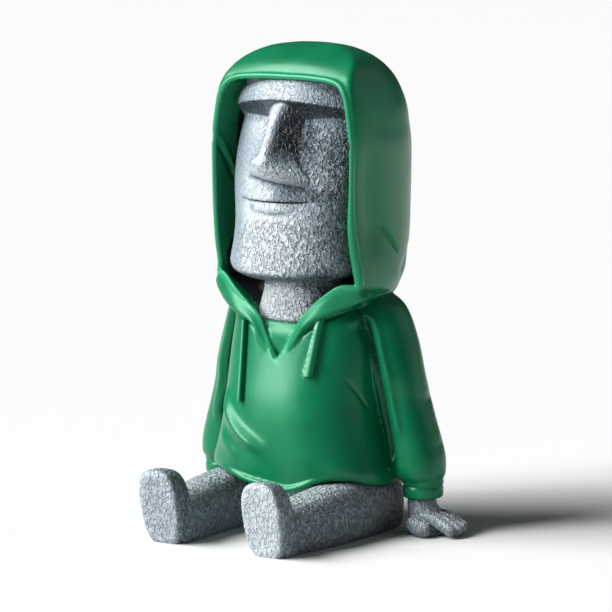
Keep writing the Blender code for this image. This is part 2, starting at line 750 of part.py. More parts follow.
def seat():
    """The hips, flat underneath, closed off behind under the hem."""
    back = SEAT_BACK
    stations = [
        (-0.0040, 0, SEAT_HALF_WIDTH - 0.0030, 0.0020, back - 0.0030),
        (0.0010, 0, SEAT_HALF_WIDTH - 0.0008, 0.0020, back - 0.0008),
        (0.0060, 0, SEAT_HALF_WIDTH, 0.0020, back),
        (0.0180, 0, SEAT_HALF_WIDTH - 0.0006, 0.0010, back),
        (0.0260, 0, SEAT_HALF_WIDTH - 0.0040, 0.0000, back - 0.0030),
    ]
    return stack("seat", stations, 3.4, count=24)


def make_legs():
    half = [leg(), foot()]
    forms = [seat()] + half + [mirrored(form) for form in half]
    legs = fuse("stone_legs", forms, smoothing=2)
    thin_out(legs, LEG_TRIANGLES)
    return legs


def hand():
    """Palm, four fingers and a thumb, spread on the ground beside the hip."""
    wrist_y = SLEEVE_Y
    palm = stack(
        "palm",
        [
            (-0.0030, PALM_X + 0.0015, 0.0080, wrist_y - 0.0090, wrist_y + 0.0085),
            (0.0040, PALM_X + 0.0008, 0.0078, wrist_y - 0.0088, wrist_y + 0.0084),
            (0.0085, PALM_X - 0.0006, 0.0068, wrist_y - 0.0074, wrist_y + 0.0074),
            (0.0130, CUFF_X, 0.0058, wrist_y - 0.0062, wrist_y + 0.0062),
            (CUFF_BOTTOM_Z + 0.0040, CUFF_X, 0.0056, wrist_y - 0.0060, wrist_y + 0.0060),
        ],
        2.3,
        count=20,
    )
    digits = []
    for k, share in enumerate(np.linspace(-1, 1, 4)):
        reach = FINGER_REACH - 0.0018 * abs(share - 0.1)
        aim = HAND_TURN + share * np.radians(10)
        root = Vector((PALM_X - 0.0005, wrist_y + share * 0.0056, 0.0074))
        tip = root + Vector((np.cos(aim) * reach, np.sin(aim) * reach, 0))
        middle, near_tip = root.lerp(tip, 0.5), root.lerp(tip, 0.8)
        points = [
            tuple(root),
            (middle.x, middle.y, 0.0060),
            (near_tip.x, near_tip.y, 0.0034),
            (tip.x, tip.y, 0.0024),
        ]
        digits.append(tube(f"finger_{k}", points, FINGER_RADIUS, steps=20))
    thumb = [
        (PALM_X - 0.0040, wrist_y - 0.0065, 0.0050),
        (PALM_X + 0.0020, wrist_y - 0.0100, 0.0036),
        (PALM_X + 0.0085, wrist_y - 0.0110, 0.0027),
    ]
    digits.append(tube("thumb", thumb, FINGER_RADIUS, steps=20))
    made = fuse("stone_hand", [palm] + digits, smoothing=1)
    thin_out(made, HAND_TRIANGLES)
    return made


def join_castings(base, others):
    for other in others:
        apply_modifier(base, "BOOLEAN", operation="UNION", object=other)
        bpy.data.objects.remove(other, do_unlink=True)
    return base


def sit_flat(made):
    """The underside is ground flat where the figure meets the table."""
    build = bmesh.new()
    build.from_mesh(made.data)
    everything = build.verts[:] + build.edges[:] + build.faces[:]
    bmesh.ops.bisect_plane(
        build, geom=everything, plane_co=(0, 0, 0), plane_no=(0, 0, -1), clear_outer=True
    )
    rim = [edge for edge in build.edges if edge.is_boundary]
    bmesh.ops.holes_fill(build, edges=rim)
    bmesh.ops.triangulate(build, faces=build.faces[:])
    bmesh.ops.recalc_face_normals(build, faces=build.faces[:])
    build.to_mesh(made.data)
    build.free()


def settle(made):
    """Scale to the stated height, with the origin on the ground under the middle."""
    places = np.array([v.co for v in made.data.vertices])
    middle = (places.min(0) + places.max(0)) / 2
    size = TOTAL_HEIGHT / places[:, 2].max()
    made.data.transform(Matrix.Translation((-middle[0], -middle[1], 0)))
    made.data.transform(Matrix.Scale(size, 4))


def painted_resin():
    material = bpy.data.materials.new("painted_resin")
    material.use_nodes = True
    shader = material.node_tree.nodes["Principled BSDF"]
    shader.inputs["Base Color"].default_value = (0.02, 0.30, 0.10, 1)
    shader.inputs["Roughness"].default_value = 0.35
    shader.inputs["Metallic"].default_value = 0.0
    return material


def main():
    cloth = make_cloth()
    right_hand = hand()
    left_hand = mirrored(right_hand)
    figure = join_castings(cloth, [make_head(), make_legs(), right_hand, left_hand])
    sit_flat(figure)
    settle(figure)
    figure.name = "hooded_moai_figure"
    figure.data.materials.clear()
    figure.data.materials.append(painted_resin())
    figure.data.shade_smooth()


clear_scene()
figure_parts = bpy.data.collections.new("seated_moai_ornament")
bpy.context.scene.collection.children.link(figure_parts)
main()
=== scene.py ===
# %% [markdown]
# # A seated moai in a hooded sweatshirt
#
# This lesson builds the looks of a small cast-resin ornament: a stone-grey moai that wears a green
# hooded sweatshirt and sits with its legs straight out. The real one is a single casting that was
# painted by hand, so here too everything ends as one skin with three paints on it.
#
# The measured model comes first, because the sculpt has to stand exactly where it stands.

import math

import bmesh
import bpy
import numpy as np
from mathutils import Matrix, Vector
from mathutils.kdtree import KDTree


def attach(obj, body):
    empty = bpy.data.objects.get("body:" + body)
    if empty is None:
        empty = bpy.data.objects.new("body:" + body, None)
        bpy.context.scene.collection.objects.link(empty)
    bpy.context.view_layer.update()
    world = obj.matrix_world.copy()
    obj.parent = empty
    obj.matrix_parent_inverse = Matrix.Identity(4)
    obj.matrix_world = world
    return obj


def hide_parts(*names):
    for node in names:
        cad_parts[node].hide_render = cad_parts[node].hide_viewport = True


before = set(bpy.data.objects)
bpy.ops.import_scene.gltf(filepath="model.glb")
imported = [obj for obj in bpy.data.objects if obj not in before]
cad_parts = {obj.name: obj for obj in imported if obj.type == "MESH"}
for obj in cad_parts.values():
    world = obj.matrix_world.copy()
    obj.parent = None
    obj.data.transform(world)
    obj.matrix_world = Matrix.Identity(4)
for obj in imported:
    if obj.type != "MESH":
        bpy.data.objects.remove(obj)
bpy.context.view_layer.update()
FIGURE = "hooded_moai_figure"
MM = 0.001

# %% [markdown]
# ## Camera, light and floor
#
# A product photograph like this one is taken with a long lens, so upright lines stay upright. The
# camera stands 1.5 m away, turned to the figure's left and a little above it. The lens shift takes the
# place of cropping the picture.
#
# The light is a tall soft box at the left and a weak one behind on the right. Suns with a wide angle act
# like such boxes, two for the tall one, and they light the whole floor evenly, which keeps the background
# plain.

# %% Camera
CAMERA_TURN = math.radians(34)
CAMERA_RISE = math.radians(8)
CAMERA_DISTANCE = 1.5


def toward(turn, rise):
    """Unit direction from the figure: turn 0 is straight in front, 90 is the figure's left."""
    return Vector(
        (math.sin(turn) * math.cos(rise), -math.cos(turn) * math.cos(rise), math.sin(rise))
    )


lens = bpy.data.cameras.new("long_lens")
lens.lens = 209.6
lens.shift_x = 0.0240
lens.shift_y = -0.0196
camera = bpy.data.objects.new("camera", lens)
bpy.context.scene.collection.objects.link(camera)
look = toward(CAMERA_TURN, CAMERA_RISE)
camera.location = Vector((0, 0.0019, 0.100)) + look * CAMERA_DISTANCE
camera.rotation_euler = look.to_track_quat("Z", "Y").to_euler()
bpy.context.scene.camera = camera
print("camera at", [round(c, 3) for c in camera.location])

# %% Light and floor
def soft_sun(name, turn, rise, strength, width, colour):
    """A sun that is as wide as a soft box and shines from this turn and rise, in degrees."""
    lamp = bpy.data.lights.new(name, "SUN")
    lamp.energy = strength
    lamp.angle = math.radians(width)
    lamp.color = colour
    made = bpy.data.objects.new(name, lamp)
    source = toward(math.radians(turn), math.radians(rise))
    made.rotation_euler = source.to_track_quat("Z", "Y").to_euler()
    bpy.context.scene.collection.objects.link(made)


soft_sun("key_soft_box_top", -54, 48, 3.4, 30, (1.0, 1.0, 1.0))
soft_sun("key_soft_box_foot", -34, 24, 3.4, 26, (1.0, 1.0, 1.0))
soft_sun("rim_soft_box", 140, 22, 0.17, 45, (0.97, 0.98, 1.0))
bpy.context.scene.view_settings.view_transform = "Standard"

world = bpy.data.worlds.new("studio")
bpy.context.scene.world = world
world.use_nodes = True
sky = world.node_tree.nodes["Background"]
sky.inputs["Color"].default_value = (0.95, 0.97, 1.0, 1)
sky.inputs["Strength"].default_value = 0.05

bpy.ops.object.select_all(action="DESELECT")
bpy.ops.mesh.primitive_circle_add(vertices=96, radius=9, fill_type="NGON")
floor = bpy.context.object
floor.name = "studio_floor"
paper = bpy.data.materials.new("pale_paper")
paper.use_nodes = True
paper_shader = paper.node_tree.nodes["Principled BSDF"]
paper_shader.inputs["Base Color"].default_value = (0.76, 0.76, 0.76, 1)
paper_shader.inputs["Roughness"].default_value = 0.9
floor.data.materials.append(paper)
print("floor radius, m:", round(floor.dimensions.x / 2, 2))

# %% [markdown]
# ## Pulling forms up ring by ring
#
# A sculptor blocks a figure out in simple masses before any detail. Here each mass starts as a filled
# circle that is extruded once for every ring, and each ring is set to the width and depth that the
# figure has at that height. A superellipse gives the ring's shape: 2 is round and 3 is nearly a
# rounded square, which suits a hood or a stone head better than a plain cylinder.
#
# The stations are only the heights where the outline changes. A smooth curve through them fills in the
# rings between. All tables are in millimetres.

# %% Grow a form
def smooth_run(stations, count):
    """Rows on a smooth curve that passes through every station."""
    rows = np.array(stations, float)
    padded = np.vstack([2 * rows[0] - rows[1], rows, 2 * rows[-1] - rows[-2]])
    made = []
    for place in np.linspace(0, len(rows) - 1 - 1e-9, count):
        i = int(place)
        t = place - i
        a, b, c, d = padded[i : i + 4]
        bend = 2 * a - 5 * b + 4 * c - d
        twist = 3 * b - a - 3 * c + d
        made.append(0.5 * (2 * b + (c - a) * t + bend * t**2 + twist * t**3))
    return np.array(made)


def oval(squareness, points=88):
    """A unit superellipse."""
    turn = np.linspace(0, 2 * np.pi, points, endpoint=False)
    power = 2.0 / squareness
    across = np.sign(np.cos(turn)) * np.abs(np.cos(turn)) ** power
    along = np.sign(np.sin(turn)) * np.abs(np.sin(turn)) ** power
    return across, along


def grow(name, rings):
    """Extrude a filled circle through a list of rings, given in millimetres."""
    bpy.ops.object.select_all(action="DESELECT")
    bpy.ops.mesh.primitive_circle_add(vertices=len(rings[0]), radius=0.02, fill_type="NGON")
    form = bpy.context.object
    form.name = name
    bpy.ops.object.mode_set(mode="EDIT")
    clay = bmesh.from_edit_mesh(form.data)
    edge = list(clay.verts)
    for vert, place in zip(edge, rings[0]):
        vert.co = Vector(place) * MM
    for ring in rings[1:]:
        known = {tuple(vert.co): k for k, vert in enumerate(edge)}
        bpy.ops.mesh.extrude_region_move()
        clay = bmesh.from_edit_mesh(form.data)
        raised = [vert for vert in clay.verts if vert.select]
        edge = sorted(raised, key=lambda vert: known[tuple(vert.co)])
        for vert, place in zip(edge, ring):
            vert.co = Vector(place) * MM
    bpy.ops.mesh.select_all(action="SELECT")
    bpy.ops.mesh.normals_make_consistent(inside=False)
    bpy.ops.object.mode_set(mode="OBJECT")
    return form


def standing(name, stations, squareness, count=60):
    """Stations are height, middle in x, half width, front and back."""
    across, along = oval(squareness)
    rings = []
    for z, middle, half, front, back in smooth_run(stations, count):
        y = (front + back) / 2 + along * (back - front) / 2
        rings.append(np.column_stack([middle + across * half, y, np.full_like(y, z)]))
    return grow(name, rings)


def lying(name, stations, squareness, count=50):
    """Stations are y, middle in x, half width, low and high."""
    across, along = oval(squareness)
    rings = []
    for y, middle, half, low, high in smooth_run(stations, count):
        z = (low + high) / 2 + along * (high - low) / 2
        rings.append(np.column_stack([middle + across * half, np.full_like(z, y), z]))
    return grow(name, rings)


def use(form, kind, **settings):
    """Add a modifier and apply it at once."""
    modifier = form.modifiers.new(kind.title(), kind)
    for key, value in settings.items():
        setattr(modifier, key, value)
    bpy.ops.object.select_all(action="DESELECT")
    form.select_set(True)
    bpy.context.view_layer.objects.active = form
    bpy.ops.object.modifier_apply(modifier=modifier.name)


def carve(form, cutter):
    """Cut one form out of another and remove the cutter."""
    use(form, "BOOLEAN", operation="DIFFERENCE", object=cutter)
    bpy.data.objects.remove(cutter, do_unlink=True)


def other_side(form):
    """A copy mirrored to the figure's other side."""
    twin = form.copy()
    twin.data = form.data.copy()
    twin.name = form.name + "_other_side"
    twin.data.transform(Matrix.Diagonal((-1, 1, 1, 1)))
    twin.data.flip_normals()
    bpy.context.scene.collection.objects.link(twin)
    return twin


def cord_along(name, points, radius, steps, swell=lambda place: 1.0):
    """A round cord on a smooth path, with filled ends, made a mesh."""
    path = smooth_run(points, steps) * MM
    line = bpy.data.curves.new(name, "CURVE")
    line.dimensions = "3D"
    line.bevel_depth = radius * MM
    line.bevel_resolution = 4
    line.use_fill_caps = True
    spline = line.splines.new("POLY")
    spline.points.add(len(path) - 1)
    for point, place in zip(spline.points, path):
        point.co = (*place, 1)
        point.radius = swell(place / MM)
    made = bpy.data.objects.new(name, line)
    bpy.context.scene.collection.objects.link(made)
    bpy.ops.object.select_all(action="DESELECT")
    made.select_set(True)
    bpy.context.view_layer.objects.active = made
    bpy.ops.object.convert(target="MESH")
    made = bpy.context.object
    bpy.ops.object.mode_set(mode="EDIT")
    bpy.ops.mesh.select_all(action="SELECT")
    bpy.ops.mesh.remove_doubles(threshold=1e-6)
    bpy.ops.mesh.normals_make_consistent(inside=False)
    bpy.ops.object.mode_set(mode="OBJECT")
    return made


def soften(form, voxel, smoothing):
    """Round off every edge of a form a little."""
    use(form, "REMESH", mode="VOXEL", voxel_size=voxel * MM)
    use(form, "SMOOTH", factor=0.5, iterations=smoothing)


def fuse(name, forms, voxel, smoothing):
    """Press the overlapping masses into one skin, as clay is pressed together."""
    bpy.ops.object.select_all(action="DESELECT")
    for form in forms:
        form.select_set(True)
    bpy.context.view_layer.objects.active = forms[0]
    bpy.ops.object.join()
    made = forms[0]
    made.name = name
    soften(made, voxel, smoothing)
    print(name, "faces:", len(made.data.polygons))
    return made


def thin(form, triangles):
    """Keep about this many triangles, most of them where the form bends."""
    use(form, "TRIANGULATE")
    use(form, "DECIMATE", ratio=triangles / len(form.data.polygons))


print("helpers ready")

# %% [markdown]
# ## The sweatshirt's masses
#
# The hood is a rounded box with a domed top. Its front is cut along a curved line, because the real
# rim leans back towards the crown and the collar. The space round the face is a second form that is
# carved out of it, and the vee of the neck is a flat outline carved through the chest.

# %% Lines of the opening
HOOD_BACK = 65.6
COLLAR_CORNER = (35.4, 4.4, 105.6)
VEE_BOTTOM = (0.0, -4.2, 73.8)
RIM_LINE = [
    (0.0, 1.6, 192.0),
    (14.0, 1.4, 191.8),
    (25.5, 1.0, 190.4),
    (30.5, 0.0, 186.0),
    (32.9, -0.4, 177.0),
    (34.5, -0.4, 164.0),
    (34.5, -0.4, 148.0),
    (34.2, 0.0, 133.0),
    (34.5, 1.8, 121.0),
    (34.9, 4.2, 112.0),
    COLLAR_CORNER,
]
COLLAR_EDGE = [
    COLLAR_CORNER,
    (31.8, 2.0, 106.0),
    (27.5, 0.4, 105.3),
    (22.0, -0.8, 101.6),
    (16.0, -1.4, 96.6),
    (10.6, -2.2, 90.3),
    (6.2, -3.1, 82.6),
    (2.6, -3.8, 76.9),
    VEE_BOTTOM,
]
COLLAR_CREASE = [
    (38.4, 10.0, 102.6),
    (36.8, 5.8, 99.8),
    (31.4, 2.4, 97.0),
    (25.8, -0.4, 94.5),
    (20.6, -2.2, 92.2),
    (14.0, -3.8, 87.6),
    (9.0, -4.6, 81.0),
    (4.8, -4.9, 75.6),
    (0.6, -5.0, 71.6),
]
RIM_LEAN_HEIGHTS = [86, 105, 113, 122, 133, 178, 187, 191, 193, 195, 197.5, 200, 202.5, 204.2, 205.4]
RIM_LEAN_DEPTHS = [2.6, 5.6, 3.6, 2.0, 0.6, -0.4, 0.2, 0.9, 1.8, 3.0, 5.0, 8.2, 12.8, 17.4, 23.0]
FAR_EDGE = [
    (-35.4, 4.4, 107.0),
    (-33.0, 2.6, 107.6),
    (-29.4, 1.4, 105.8),
    (-24.4, 0.0, 101.4),
    (-17.8, -1.0, 96.2),
] + [(-x, y, z) for x, y, z in COLLAR_EDGE[5:]]
FAR_CREASE = [
    (-36.6, 6.4, 105.0),
    (-36.0, 4.6, 101.8),
    (-33.4, 2.8, 98.2),
    (-29.0, 0.8, 94.6),
    (-23.0, -1.6, 91.2),
] + [(-x, y, z) for x, y, z in COLLAR_CREASE[5:]]
far_rim = [(-x, y, z) for x, y, z in reversed(RIM_LINE[1:-1])]
OPENING_EDGE = FAR_EDGE[::-1] + far_rim + RIM_LINE + COLLAR_EDGE[1:]
print("opening edge points:", len(OPENING_EDGE))

# %% Hood
def front_cutter():
    """A slab whose rear face follows the rim's lean and curves back at the sides above the rim."""
    heights = np.linspace(80, 210, 60)
    lean = np.interp(heights, RIM_LEAN_HEIGHTS, RIM_LEAN_DEPTHS)
    across = np.linspace(50, -50, 25)
    rings = []
    for z, y in zip(heights, lean):
        curve = np.interp(z, [187, 192, 198, 204], [0.0, 1.2, 4.2, 8.0])
        rear = [(x, y + curve * (x / 30) ** 2, z) for x in across]
        rings.append(np.array([(-50, -60, z), (50, -60, z)] + rear))
    return grow("front_cutter", rings)


def face_space():
    """The hollow round the head and neck."""
    stations = [
        (87.4, 0, 12.0, -30, 20),
        (92.0, 0, 17.0, -30, 24),
        (97.0, 0, 22.0, -30, 28),
        (101.0, 0, 26.5, -34, 30),
        (105.0, 0, 31.5, -34, 30),
        (109.0, 0, 34.0, -34, 30),
        (136.0, 0, 34.2, -34, 30),
        (163.4, 0, 35.0, -34, 30),
        (176.0, 0, 33.4, -32, 30),
        (185.0, 0, 30.2, -30, 27),
        (191.0, 0, 23.5, -26, 22),
    ]
    return standing("face_space", stations, 3.2)


def vee_cutter():
    """The vee of the neck. Behind its edge it widens on the figure's right, beside the far band."""
    half = [(33.0, 110.0)] + [(x, z) for x, y, z in smooth_run(COLLAR_EDGE, 40)]
    rings = []
    for y, spread in ((-30, 0.0), (-0.5, 0.0), (4.4, 4.4)):
        far = [
            (-x - spread * np.interp(z, [82, 91, 97, 103, 108], [0, 0.55, 1, 0.5, 0]), z)
            for x, z in reversed(half[:-1])
        ]
        rings.append(np.array([(x, y, z) for x, z in half + far]))
    return grow("vee_cutter", rings)


hood = standing(
    "hood",
    [
        (93.0, 0, 25.0, 4, 49.0),
        (100.0, 0, 33.0, -8, 54.0),
        (104.2, 0, 36.2, -22, 55.8),
        (107.7, 0, 37.4, -24, 58.0),
        (112.0, 0, 37.6, -26, 60.5),
        (123.6, 0, 37.2, -28, HOOD_BACK - 1.6),
        (136.5, 0, 36.9, -28, HOOD_BACK - 0.2),
        (152.0, 0, 37.2, -28, HOOD_BACK),
        (163.4, 0, 37.6, -28, HOOD_BACK - 0.8),
        (170.7, 0, 37.0, -28, HOOD_BACK - 1.8),
        (178.7, 0, 36.2, -26, HOOD_BACK - 3.4),
        (186.0, 0, 34.7, -24, HOOD_BACK - 7.0),
        (191.0, 0, 33.0, -21, HOOD_BACK - 10.6),
        (195.0, 0, 31.0, -18, HOOD_BACK - 15.0),
        (198.4, 0, 28.4, -14, HOOD_BACK - 20.0),
        (201.4, 0, 24.4, -9.0, HOOD_BACK - 25.8),
        (203.8, 0, 18.4, -2.0, HOOD_BACK - 32.0),
        (205.2, 0, 9.0, 7.0, HOOD_BACK - 38.5),
    ],
    2.7,
    count=100,
)
carve(hood, front_cutter())
soften(hood, 0.9, 14)
carve(hood, face_space())
carve(hood, vee_cutter())
print("hood size, mm:", [round(c / MM, 1) for c in hood.dimensions])

# %% Torso, sleeves and cuffs
torso = standing(
    "torso",
    [
        (16.4, 0, 36.6, -8.6, 47.0),
        (18.0, 0, 39.4, -11.4, 50.0),
        (23.5, 0, 40.2, -12.4, 51.0),
        (32.5, 0, 38.4, -12.8, 51.0),
        (44.0, 0, 35.6, -12.2, 51.0),
        (56.0, 0, 34.2, -10.4, 50.6),
        (70.0, 0, 34.0, -7.0, 50.0),
        (82.0, 0, 33.4, -4.2, 49.2),
        (90.0, 0, 32.0, -2.4, 48.4),
        (96.0, 0, 28.2, 0.4, 46.5),
        (100.5, 0, 23.2, 6.0, 44.0),
        (104.5, 0, 14.2, 14.0, 38.0),
    ],
    2.6,
    count=80,
)


def hem_rise(x, y):
    """How much higher the hem sits here than at the back."""
    places = [-38, -34, -28, -20, -12, -2, 6, 13, 20, 28, 34, 38]
    rises = [6.2, 7.4, 8.0, 6.6, 4.4, 3.0, 1.6, 1.8, 5.4, 8.0, 7.4, 6.2]
    across = np.interp(x, places, rises)
    return float(across * np.interp(y, [2, 14, 30], [1.0, 0.62, 0.30]) * (y < 46))


for vert in torso.data.vertices:
    x, y, z = vert.co / MM
    if z < 34:
        vert.co.z += hem_rise(x, y) * (34 - z) / 17.6 * MM
carve(torso, face_space())
carve(torso, vee_cutter())

SLEEVE_Y = 29.8
sleeve = standing(
    "sleeve",
    [
        (103.0, 20.0, 6.0, 19.8, 34.8),
        (99.0, 25.2, 10.5, 15.8, 39.3),
        (93.0, 30.2, 11.8, 14.6, 40.8),
        (80.0, 35.3, 11.3, 15.0, 42.0),
        (67.0, 39.2, 10.7, 15.5, 41.3),
        (58.0, 41.3, 10.5, 16.8, 42.0),
        (48.0, 44.0, 10.6, 17.3, 42.3),
        (40.0, 46.2, 11.0, 17.5, 42.6),
        (33.0, 47.6, 11.5, 17.6, 43.0),
        (27.8, 48.2, 11.4, 17.6, 42.8),
        (24.0, 49.4, 10.0, 19.0, 41.0),
        (21.5, 50.2, 7.0, 22.3, 37.3),
    ],
    2.2,
    count=90,
)
cuff = standing(
    "cuff",
    [
        (15.0, 50.8, 7.2, 22.8, 38.0),
        (15.5, 50.8, 8.2, 21.8, 39.0),
        (19.4, 50.8, 8.4, 21.6, 39.2),
        (19.9, 50.8, 7.5, 22.5, 38.3),
        (20.4, 50.8, 7.5, 22.5, 38.3),
        (20.9, 50.8, 8.5, 21.5, 39.3),
        (23.0, 50.6, 8.4, 21.4, 39.3),
        (25.5, 50.2, 6.6, 22.6, 38.2),
    ],
    2.1,
    count=60,
)
print("sleeve reaches x, mm:", round(max(v.co.x for v in sleeve.data.vertices) / MM, 1))

# %% [markdown]
# ## Rim, collar band, hem and drawstrings
#
# These are the thin things a sculptor lays on last: a rolled edge round the opening, the turned-out
# band of the collar, the rolled hem and two flat cords. Cords on a curve with a bevel are quickest for
# the rolls. The band changes its width along the neck, so it is grown ring by ring like the masses.

# %% Rim and collar band
def rim_swell(place):
    """The rim on the figure's left is thicker where it nears the collar."""
    if place[0] < 0:
        return 0.95
    return float(np.interp(place[2], [104, 112, 124, 142, 190], [1.1, 1.75, 1.55, 1.0, 0.9]))


upper_edge = FAR_EDGE[:1] + far_rim + RIM_LINE
lower_edge = COLLAR_EDGE[:-1] + FAR_EDGE[::-1]
rims = [
    cord_along("rim_roll", upper_edge, 1.35, 200, swell=rim_swell),
    cord_along("collar_roll", lower_edge, 0.9, 120),
]


def collar_band(name, edge, fold, body, start=1.0, lean=0.0):
    """The turned-out cloth between its free edge and its crease; lean moves its crest to the crease."""
    free = smooth_run(edge, 70)
    crease = smooth_run(fold, 70)
    ahead = np.gradient(free, axis=0)
    turn = np.linspace(0, 2 * np.pi, 20, endpoint=False)
    rings = []
    for k, (f, c, a) in enumerate(zip(free, crease, ahead)):
        across = (f - c) / 2
        outward = np.cross(a, across)
        outward *= np.sign(-outward[1]) / np.linalg.norm(outward)
        thick = min(body, np.linalg.norm(across)) * np.interp(k, [0, 12, 42, 69], [start, 1.0, 1.0, 0.35])
        lift = np.sign(np.sin(turn)) * np.abs(np.sin(turn)) ** 0.7 * thick * (1 - lean * np.cos(turn))
        rings.append((f + c) / 2 + np.outer(np.cos(turn), across) + np.outer(lift, outward))
    return grow(name, rings)


bands = [
    collar_band("collar_band", COLLAR_EDGE, COLLAR_CREASE, 1.1),
    collar_band(
        "far_collar_band",
        [(-34.9, 4.4, 113.0)] + FAR_EDGE,
        [(-36.4, 7.0, 111.0)] + FAR_CREASE,
        1.5,
        start=0.35,
        lean=0.4,
    ),
]
print("bands:", len(bands))

# %% Hem and undershirt
def hem_roll():
    """The rolled hem, which follows the torso's lower edge all round."""
    run = []
    for angle in np.linspace(-np.pi / 2, np.pi * 1.5, 41):
        x = 39.0 * np.sign(np.cos(angle)) * abs(np.cos(angle)) ** 0.77
        y = (19.0 + 32.0 * np.sin(angle)) * 0.985 + 0.3
        run.append((x, y, 18.6 + hem_rise(x, y)))
    return cord_along("hem_roll", run, 1.4, 220)


hem = hem_roll()
undershirt = standing(
    "undershirt",
    [
        (66.8, 0, 20.0, -1.4, 30),
        (80.0, 0, 20.0, -2.4, 30),
        (84.4, 0, 20.6, -2.1, 30),
        (87.6, 0, 20.8, -0.9, 30),
        (89.2, 0, 20.4, 0.5, 30),
    ],
    2.4,
    count=24,
)

# %% Drawstrings
def drawstring(name, top, end, top_width, end_width, proud_and_lit):
    """A flat cord on the chest that widens towards its cut end."""
    across, along = oval(3.4, points=24)
    rings = []
    for t in np.linspace(0, 1, 24):
        x = top[0] * (1 - t) + end[0] * t
        z = top[1] * (1 - t) + end[1] * t
        surface = torso.ray_cast((x * MM, -1, z * MM), (0, 1, 0))[1]
        half = (top_width * (1 - t) + end_width * t) / 2
        y = surface.y / MM - proud_and_lit * 0.35 + along * proud_and_lit * 0.9
        rings.append(np.column_stack([x + across * half, y, np.full_like(y, z)]))
    return grow(name, rings)


strings = [
    drawstring("left_drawstring", (19.2, 92.5), (16.8, 68.4), 2.6, 4.8, 2.3),
    drawstring("right_drawstring", (-18.4, 88.5), (-15.0, 55.4), 2.2, 2.6, 2.2),
]
print("drawstrings:", len(strings))

# %% Press the cloth together
far_sleeve, far_cuff = other_side(sleeve), other_side(cuff)
cloth = fuse(
    "cloth",
    [torso, hood, undershirt, hem, sleeve, cuff, far_sleeve, far_cuff] + bands + rims,
    voxel=0.52,
    smoothing=1,
)

# %% [markdown]
# ## Folds, as strokes over the clay
#
# Folds in a small casting are soft ridges and grooves that a loop tool left in the clay. A stroke here
# is a short path, seen from one side, and a height: every vertex near the path that faces that side
# moves along its normal. Cloth simulation would give a real sweatshirt's folds, but the real figure's
# are fewer and simpler than cloth makes, so strokes match it better.

# %% The stroke tool
FRONT, BACK, LEFT, RIGHT = (0, -1, 0), (0, 1, 0), (1, 0, 0), (-1, 0, 0)
FRONT_LEFT, FRONT_RIGHT = (0.6, -0.8, 0), (-0.6, -0.8, 0)


def read_points(form):
    """Place and normal of every vertex, in metres."""
    count = len(form.data.vertices)
    place = np.empty(count * 3, np.float32)
    normal = np.empty(count * 3, np.float32)
    form.data.vertices.foreach_get("co", place)
    form.data.vertices.foreach_get("normal", normal)
    return place.reshape(-1, 3).astype(float), normal.reshape(-1, 3).astype(float)


def write_points(form, place):
    """Move every vertex to its new place."""
    form.data.vertices.foreach_set("co", place.astype(np.float32).ravel())
    form.data.update()


def along_path(seen, line):
    """Distance from each seen point to the path, and how far along the path it is."""
    nearest = np.full(len(seen), 1e9)
    share = np.zeros(len(seen))
    for k, (a, b) in enumerate(zip(line, line[1:])):
        run = b - a
        t = np.clip(((seen - a) @ run) / (run @ run), 0, 1)
        gap = np.linalg.norm(seen - a - t[:, None] * run, axis=1)
        closer = gap < nearest
        nearest[closer] = gap[closer]
        share[closer] = (k + t[closer]) / (len(line) - 1)
    return nearest, share


def stroke(form, facing, points, width, height, taper=0.35, only=None):
    """A ridge, or a groove where the height is negative. All in mm, as seen from one side."""
    place, normal = read_points(form)
    seen = place[:, [0, 2]] if abs(facing[1]) > abs(facing[0]) else place[:, [1, 2]]
    nearest, share = along_path(seen / MM, smooth_run(points, 24))
    ends = np.clip(np.minimum(share, 1 - share) / taper, 0, 1)
    ends = ends * ends * (3 - 2 * ends)
    turned = np.clip((normal @ np.array(facing, float) - 0.15) / 0.35, 0, 1)
    push = height * MM * np.exp(-((nearest / width) ** 2)) * ends * turned
    if only is not None:
        push = push * only(place / MM)
    write_points(form, place + normal * push[:, None])


print("stroke tool ready")

# %% Folds of the sweatshirt
ARMPIT_GROOVE = [(31.8, 90.5), (33.5, 84), (35.5, 76), (37.5, 66), (38.6, 57), (41.0, 44), (44.5, 27.6)]
SLEEVE_FOLD = [
    (28.8, 87),
    (29.8, 91.2),
    (33.2, 92.6),
    (37.0, 88.0),
    (39.8, 77.0),
    (42.2, 68.0),
    (43.8, 57.4),
    (46.0, 47),
    (47.6, 38),
]
BELLY_FOLD = [(-28.6, 61), (-25.8, 54.6), (-21.6, 48.4), (-15.4, 42.8), (-9, 38.8), (-3, 36.6), (4, 36)]
stroke(cloth, FRONT, BELLY_FOLD, 2.9, 2.4)
stroke(cloth, FRONT, [(-29, 44), (-24.6, 38.4), (-18.4, 33.4), (-12.4, 30.6)], 3.0, 0.9)
stroke(cloth, FRONT, [(-42.4, 57), (-43.2, 51), (-44.6, 45), (-46.0, 39)], 1.7, 0.9)
stroke(cloth, LEFT, [(2, 68), (9, 59), (16, 50)], 0.9, -0.6)
for x, facing in ((-1, FRONT_RIGHT), (1, FRONT_LEFT)):
    stroke(cloth, facing, [(x * a, b) for a, b in ARMPIT_GROOVE], 1.3, -2.4, taper=0.1)
    stroke(cloth, facing, [(x * a, b) for a, b in SLEEVE_FOLD], 1.5, 1.3, taper=0.12)
    stroke(cloth, BACK, [(x * 20, 60), (x * 12, 48), (0, 42)], 3.0, 1.2)
    stroke(cloth, BACK, [(x * 24, 40), (x * 14, 31), (0, 27)], 2.8, 1.1)
stroke(cloth, BACK, [(-18, 104), (0, 108.5), (18, 104)], 3.0, -1.8)

# %% Crease under the collar band
for fold in (COLLAR_CREASE, FAR_CREASE):
    stroke(cloth, FRONT, [(a, c - 0.6) for a, b, c in fold[1:-2]], 0.9, -1.1, taper=0.3)

